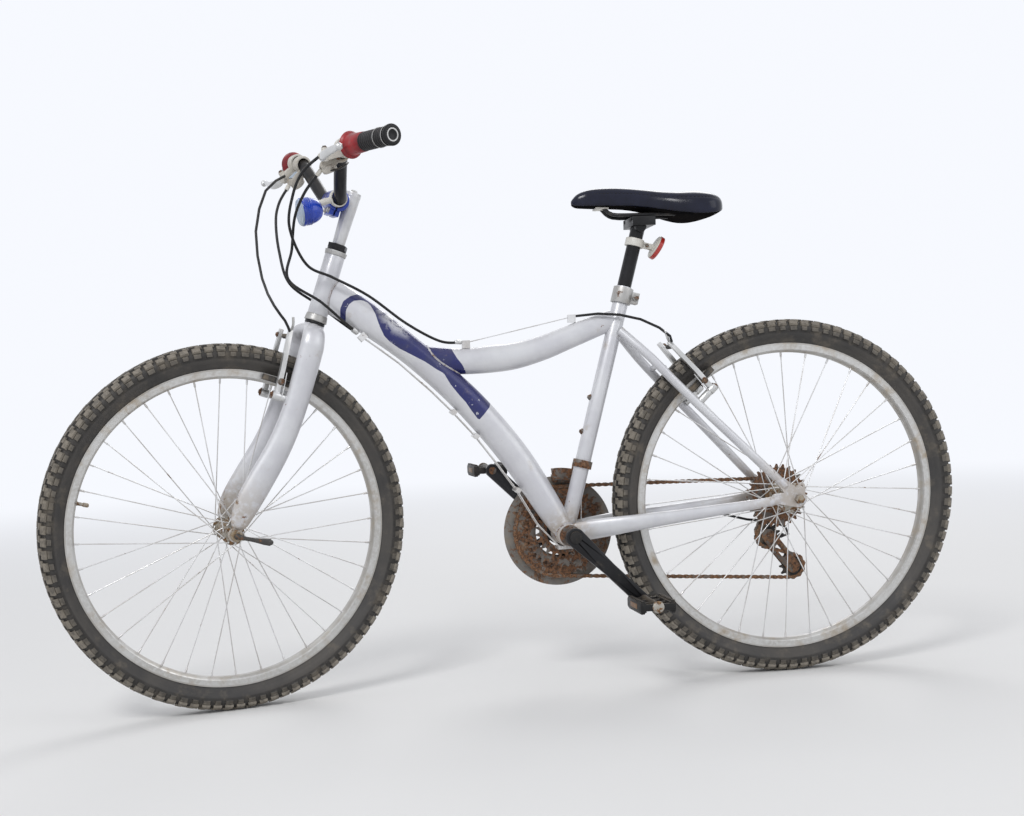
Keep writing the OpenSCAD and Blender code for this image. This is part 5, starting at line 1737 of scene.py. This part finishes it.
@dataclass
class Controls:
    """Grips, brake levers, shifters and the lamp on the bar."""

    bar_end: Triple = (52, 290, 687)
    grip_in: Triple = (77, 172, 674)
    grip_l: float = 114.0
    sleeve_l: float = 42.0
    lever_at: Triple = (79, 140, 672)
    pod_at: Triple = (75, 116, 668)
    lever_tilt: Pair = (25, 50)
    pod_tilt: Pair = (40, 62)
    lamp_at: Triple = (75, 34, 573)
    lamp_aim: float = 118.0

    def build(self) -> None:
        """Makes each pair of controls and the lamp."""
        for s, side in enumerate(("left", "right")):
            flip = LAYOUT.fork @ (MIRROR if s else Matrix.Identity(4))
            self.grip(side, flip)
            self.lever(side, flip, self.lever_tilt[s], s)
            self.pod(side, flip, self.pod_tilt[s], s)
        self.lamp()

    def grip(self, side: str, place: Matrix) -> None:
        """A ribbed grip with a red sleeve and flange, two thin rings and an end plug.

        Args:
            side: left or right.
            place: The fork's frame, mirrored for the right.
        """
        a = Vector(self.grip_in)
        aim = facing(a, Vector(self.bar_end) - a)
        ribs = [(11.4, self.sleeve_l)]
        z = self.sleeve_l
        while z < self.grip_l + 3:
            ribs += [(13.9, z), (15.0, z + 1.0), (15.0, z + 3.2), (13.9, z + 4.2)]
            z += 5.6
        ribs += [(15.0, self.grip_l + 4), (11.4, self.grip_l + 5)]
        node = ("grips",) if side == "left" else ()
        rubber = lathe(ribs, 40, closed=True).at(aim)
        piece(side + "_grip", rubber, place, GRIP, Body.FORK, sharp=50, replaces=node)
        flange = [(11.5, -3), (19, -3), (21.4, -1.8), (22, 0), (21.0, 2.0), (18.0, 4.0), (16.8, 10),
                  (16.2, 22),
                  (15.6, self.sleeve_l - 1), (14.8, self.sleeve_l), (11.5, self.sleeve_l)]
        piece(side + "_grip_flange", lathe(flange, 48, closed=True).at(aim), place, RED, Body.FORK)
        plug = [(0, 0), (15.6, 0), (16.8, 1.2), (16.6, 3.0), (14, 4.0), (9, 4.3), (8, 3.4), (0, 3.2)]
        plug = lathe(plug, 40).at(aim @ shift(0, 0, self.grip_l + 4.6))
        piece(side + "_grip_plug", plug, place, BLACK, Body.FORK, sharp=50)
        bands = lathe([(15.2, -0.8), (15.9, -0.8), (15.9, 0.8), (15.2, 0.8)], 40, closed=True)
        rings = bands.at(shift(0, 0, self.grip_l - 26)).join(bands.at(shift(0, 0, self.grip_l - 2)))
        # A pale metal ring on the plug's face: partly the plug's own ring, partly a painted highlight for the
        # plug's glints.
        end = lathe([(8.4, 8), (10.4, 8), (10.4, 9.2), (8.4, 9.2)], 40, closed=True)
        rings.join(end.at(shift(0, 0, self.grip_l)))
        piece(side + "_grip_rings", rings.at(aim), place, ALLOY, Body.FORK, sharp=50)

    def lever(self, side: str, flip: Matrix, tilt: float, s: int) -> None:
        """A brake lever: clamp, body and blade with a round end.

        Args:
            side: left or right.
            flip: The fork's frame, mirrored for the right.
            tilt: How far it is turned down, in degrees.
            s: 0 for left and 1 for right.
        """
        place = flip @ shift(*self.lever_at) @ turn("Y", tilt)
        aside = turn("Z", -8)
        clamp = collar(11.7, 16, 8, 0.8).at(aside @ ACROSS)
        housing = plate([(8, 2), (34, -1), (41, -6), (42, -15), (30, -18), (14, -15), (4, -14)], -8, 12)
        pivot = drum(5.5, 22, 0.8, 20).at(shift(34, 3, -19.5))
        whole = clamp.join(housing.at(aside), pivot)
        node = ("brake_levers",) if s == 0 else ()
        piece(side + "_lever_body", whole, place, PALE, Body.FORK, bevel=1.3, replaces=node)
        path = curve([(34, -2, -11), (40, 10, -12), (47, 22, -13.5), (50.5, 50, -12), (47, 80, -8),
                      (44.5, 100, -6.5), (44, 110, -6)], 8)
        m = len(path) - 1
        wide = [4.2 + 3.4 * math.sin(math.pi * min(i / m * 1.1, 1.0) ** 0.8) for i in range(m + 1)]
        blade = loft(swept(path, [2.6] * (m + 1), wide, (1, 0, 0), 20))
        tip = shift(*path[-1])
        blade.join(dome(6.0, 4.5, 24, 6).at(tip @ ACROSS), dome(6.0, 5.0, 24, 6).at(tip @ turn("X", 90)))
        piece(side + "_lever_blade", blade, place, BRIGHT, Body.FORK, sharp=60)
        bolts = bolt(3.4, 3.0, 4.8).at(shift(34, 3, 2.4))
        bolts.join(bolt(3.2, 3).at(facing((10, -4, -15), (0, 0, -1))))
        piece(side + "_lever_bolts", bolts, place, RUSTY, Body.FORK, bevel=0.2)

    def pod(self, side: str, flip: Matrix, tilt: float, s: int) -> None:
        """A thumb shifter: clamp, moulded pod with a round cover and a window, and a paddle.

        Args:
            side: left or right.
            flip: The fork's frame, mirrored for the right.
            tilt: How far it is turned down, in degrees.
            s: 0 for left and 1 for right.
        """
        place = flip @ shift(*self.pod_at) @ turn("Z", -10) @ turn("Y", tilt)
        clamp = collar(11.7, 16, 8, 0.8).at(ACROSS)
        pod = plate([(10, 0), (28, -1), (38, -3), (42, -9), (38, -16), (20, -17), (10, -14)], -10, 10)
        cover = lathe([(0, -25), (9, -25), (12, -23.5), (13, -20), (13, -14), (0, -14)], 36)
        node = ("shifters",) if s == 0 else ()
        whole = clamp.join(pod, cover.at(shift(28, 0, 1)))
        piece(side + "_shifter_pod", whole, place, SMOKE, Body.FORK, bevel=1.4, replaces=node)
        path = curve([(30, 4, -20), (22, 16, -24), (10, 26, -25), (2, 31, -22)], 6)
        wide = [3.2 + 0.28 * i for i in range(len(path))]
        paddle = loft(swept(path, [1.8] * len(path), wide, (0, 0, 1), 16))
        piece(side + "_shifter_paddle", paddle, place, PLASTIC, Body.FORK, sharp=60)
        window = box((16, 34), (-7, 7), (-1.2, 0.4), 1.5)
        piece(side + "_shifter_window", window, place, CLEAR, Body.FORK, bevel=0.5)

    def lamp(self) -> None:
        """The blue domed lamp with its rim, ridges and lens, and its pale bracket."""
        place = LAYOUT.fork @ shift(*self.lamp_at) @ turn("Y", self.lamp_aim)
        bowl = curve([(0, -22), (5, -21.6), (9.5, -20.2), (14, -17.6), (18, -12.5), (21, -5.5), (22.6, 2),
                      (23, 8), (23, 12.6)], 4)
        housing = lathe([*bowl, (22.2, 13.8), (0, 13.8)], 64)
        piece("lamp_housing", housing, place, BLUE, Body.FORK, sharp=50, replaces=("lamp",))
        rim = lathe([(20, 12.9), (23.4, 12.9), (24, 13.8), (24, 16.0), (23.4, 17.2), (20, 17.2)], 64,
                    closed=True)
        piece("lamp_rim", rim, place, BLUE, Body.FORK, sharp=50)
        lens = lathe([(0, 14.2), (19.8, 14.2), (19.8, 17.2), (22.8, 17.2), (22.8, 18.6), (21.6, 20.0),
                      (12, 20.8), (0, 21.1)], 56)
        piece("lamp_glass", lens, place, CLEAR, Body.FORK, replaces=("lamp_lens",))
        ridge = lathe([(23.0, 1.0), (23.5, 1.6), (23.5, 2.8), (23.0, 3.4)], 64, closed=True)
        ridges = Shape().join(*(ridge.at(shift(0, 0, 3.4 * k)) for k in range(3)))
        piece("lamp_ridges", ridges, place, BLUE, Body.FORK)
        strap = collar(12.9, 15.4, 6, 0.4).at(shift(34, 34, 611) @ ACROSS)
        path = curve([(44, 34, 604), (56, 34, 596), (66, 34, 588), (70, 34, 582)], 5)
        foot = loft(swept(path, [6.0] * len(path), [5.4] * len(path), (0, 1, 0), 20))
        piece("lamp_bracket", strap.join(foot), LAYOUT.fork, PALE, Body.FORK, bevel=0.6)


# ---- the set ----


@dataclass
class Studio:
    """Pale floor, soft lamps and a white surround."""

    floor_tone: Colour = (0.76, 0.755, 0.745)
    white: Colour = (0.93, 0.95, 1.0)
    fade: Pair = (1.2, 7.0)
    glow: float = 0.62
    reach: float = 30.0
    middle: Triple = (0.25, 0.0, -0.4)

    def build(self) -> None:
        """Makes the floor, the surround and the lamps."""
        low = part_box("rear_tyre")[0].z
        mesh = bpy.data.meshes.new("floor")
        far = self.reach
        corners = [(-far, -far, low), (far, -far, low), (far, far, low), (-far, far, low)]
        mesh.from_pydata(corners, [], [(0, 1, 2, 3)])
        mesh.materials.append(self.paving())
        floor = bpy.data.objects.new("floor", mesh)
        bpy.context.scene.collection.objects.link(floor)
        self.surround()
        self.lamp("key", (2.4, 3.2, 3.0), 1.4, 104.0)
        self.lamp("fill", (-3.2, 2.6, 1.6), 2.6, 24.0)
        self.lamp("back", (-1.2, -3.4, 2.8), 2.2, 58.0)
        log.info("floor, surround and three lamps")

    def paving(self) -> bpy.types.Material:
        """The floor's material: plain near the bicycle, and fading to the surround's white further off.

        Returns:
            The material.
        """
        g = Graph("floor_plain")
        pale = tuple(c * 0.985 for c in self.floor_tone)
        g.put(g.shader.inputs["Base Color"], g.mix(g.noise(1.5), self.floor_tone, pale))
        g.put(g.shader.inputs["Roughness"], 0.9)
        white = g.tree.nodes.new("ShaderNodeEmission")
        white.inputs["Color"].default_value = (*self.white, 1.0)
        blend = g.tree.nodes.new("ShaderNodeMixShader")
        node = g.tree.nodes.new("ShaderNodeVectorMath")
        node.operation = "LENGTH"
        g.put(node.inputs[0], g.place)
        far = g.step(node.outputs["Value"], *self.fade)
        g.put(blend.inputs[0], g.math("MULTIPLY", far, g.seen()))
        g.tree.links.new(g.shader.outputs[0], blend.inputs[1])
        g.tree.links.new(white.outputs[0], blend.inputs[2])
        g.tree.links.new(blend.outputs[0], g.tree.nodes["Material Output"].inputs["Surface"])
        return g.material

    def surround(self) -> None:
        """A plain surround that the camera, gloss and glass see as white."""
        world = bpy.data.worlds.new("surround")
        bpy.context.scene.world = world
        world.use_nodes = True
        tree = world.node_tree
        ground = tree.nodes["Background"]
        rays = tree.nodes.new("ShaderNodeLightPath")
        most = rays.outputs["Is Camera Ray"]
        for key in ("Is Glossy Ray", "Is Transmission Ray"):
            node = tree.nodes.new("ShaderNodeMath")
            node.operation = "MAXIMUM"
            tree.links.new(most, node.inputs[0])
            tree.links.new(rays.outputs[key], node.inputs[1])
            most = node.outputs[0]
        reach = tree.nodes.new("ShaderNodeMapRange")
        tree.links.new(most, reach.inputs["Value"])
        reach.inputs["To Min"].default_value = self.glow
        reach.inputs["To Max"].default_value = 1.0
        ground.inputs["Color"].default_value = (*self.white, 1.0)
        tree.links.new(reach.outputs["Result"], ground.inputs["Strength"])

    def lamp(self, name: str, place: Triple, size: float, power: float) -> None:
        """One soft lamp aimed at the middle of the bicycle.

        Args:
            name: Its name.
            place: Where it stands, in metres.
            size: Its side in metres.
            power: Its power in watts.
        """
        data = bpy.data.lights.new(name, "AREA")
        data.size = size
        data.energy = power
        lamp = bpy.data.objects.new(name, data)
        lamp.location = place
        way = Vector(self.middle) - Vector(place)
        lamp.rotation_euler = way.to_track_quat("-Z", "Y").to_euler()
        bpy.context.scene.collection.objects.link(lamp)


@dataclass
class Camera:
    """The camera on the bicycle's left, lower than the saddle and looking down a little."""

    place: Triple = (0.7479, 2.3846, -0.3546)
    azimuth: float = 6.80
    elevation: float = 6.71
    roll: float = -2.81
    lens: float = 46.43
    shift: Pair = (0.0814, 0.1465)
    sensor: float = 36.0

    def build(self) -> None:
        """Makes the scene's camera."""
        az, el, roll = (math.radians(v) for v in (self.azimuth, self.elevation, self.roll))
        back = Vector((math.sin(az) * math.cos(el), math.cos(az) * math.cos(el), math.sin(el)))
        right = (-back).cross(Vector((0, 0, 1))).normalized()
        up = right.cross(-back)
        r = math.cos(roll) * right + math.sin(roll) * up
        u = math.cos(roll) * up - math.sin(roll) * right
        data = bpy.data.cameras.new("camera")
        data.lens = self.lens
        data.sensor_width = self.sensor
        data.shift_x, data.shift_y = self.shift
        data.clip_end = 100.0
        camera = bpy.data.objects.new("camera", data)
        camera.matrix_world = Matrix.Translation(self.place) @ Matrix((r, u, back)).transposed().to_4x4()
        bpy.context.scene.collection.objects.link(camera)
        bpy.context.scene.camera = camera


def main() -> None:
    """Builds the bicycle, piece by piece, and the set round it."""
    logging.basicConfig(level=logging.INFO, format="%(message)s")
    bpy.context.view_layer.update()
    bpy.context.scene.view_settings.view_transform = "Standard"
    front = Wheel(Body.FRONT_WHEEL, LAYOUT.front_hub, FRONT_TRACK, FRONT_TREAD, (34, 34), 18)
    rear = Wheel(Body.REAR_WHEEL, LAYOUT.bike, REAR_TRACK, REAR_TREAD, (36, 21), 24)
    for part in (Camera(), Studio(), FrameTubes(), Saddle(), front, rear, Drivetrain(), Pedal("left"),
                 Pedal("right"), Brakes(), Cables(), Fork(), Controls()):
        part.build()
        log.info("%s done", type(part).__name__)


if __name__ == "__main__":
    main()
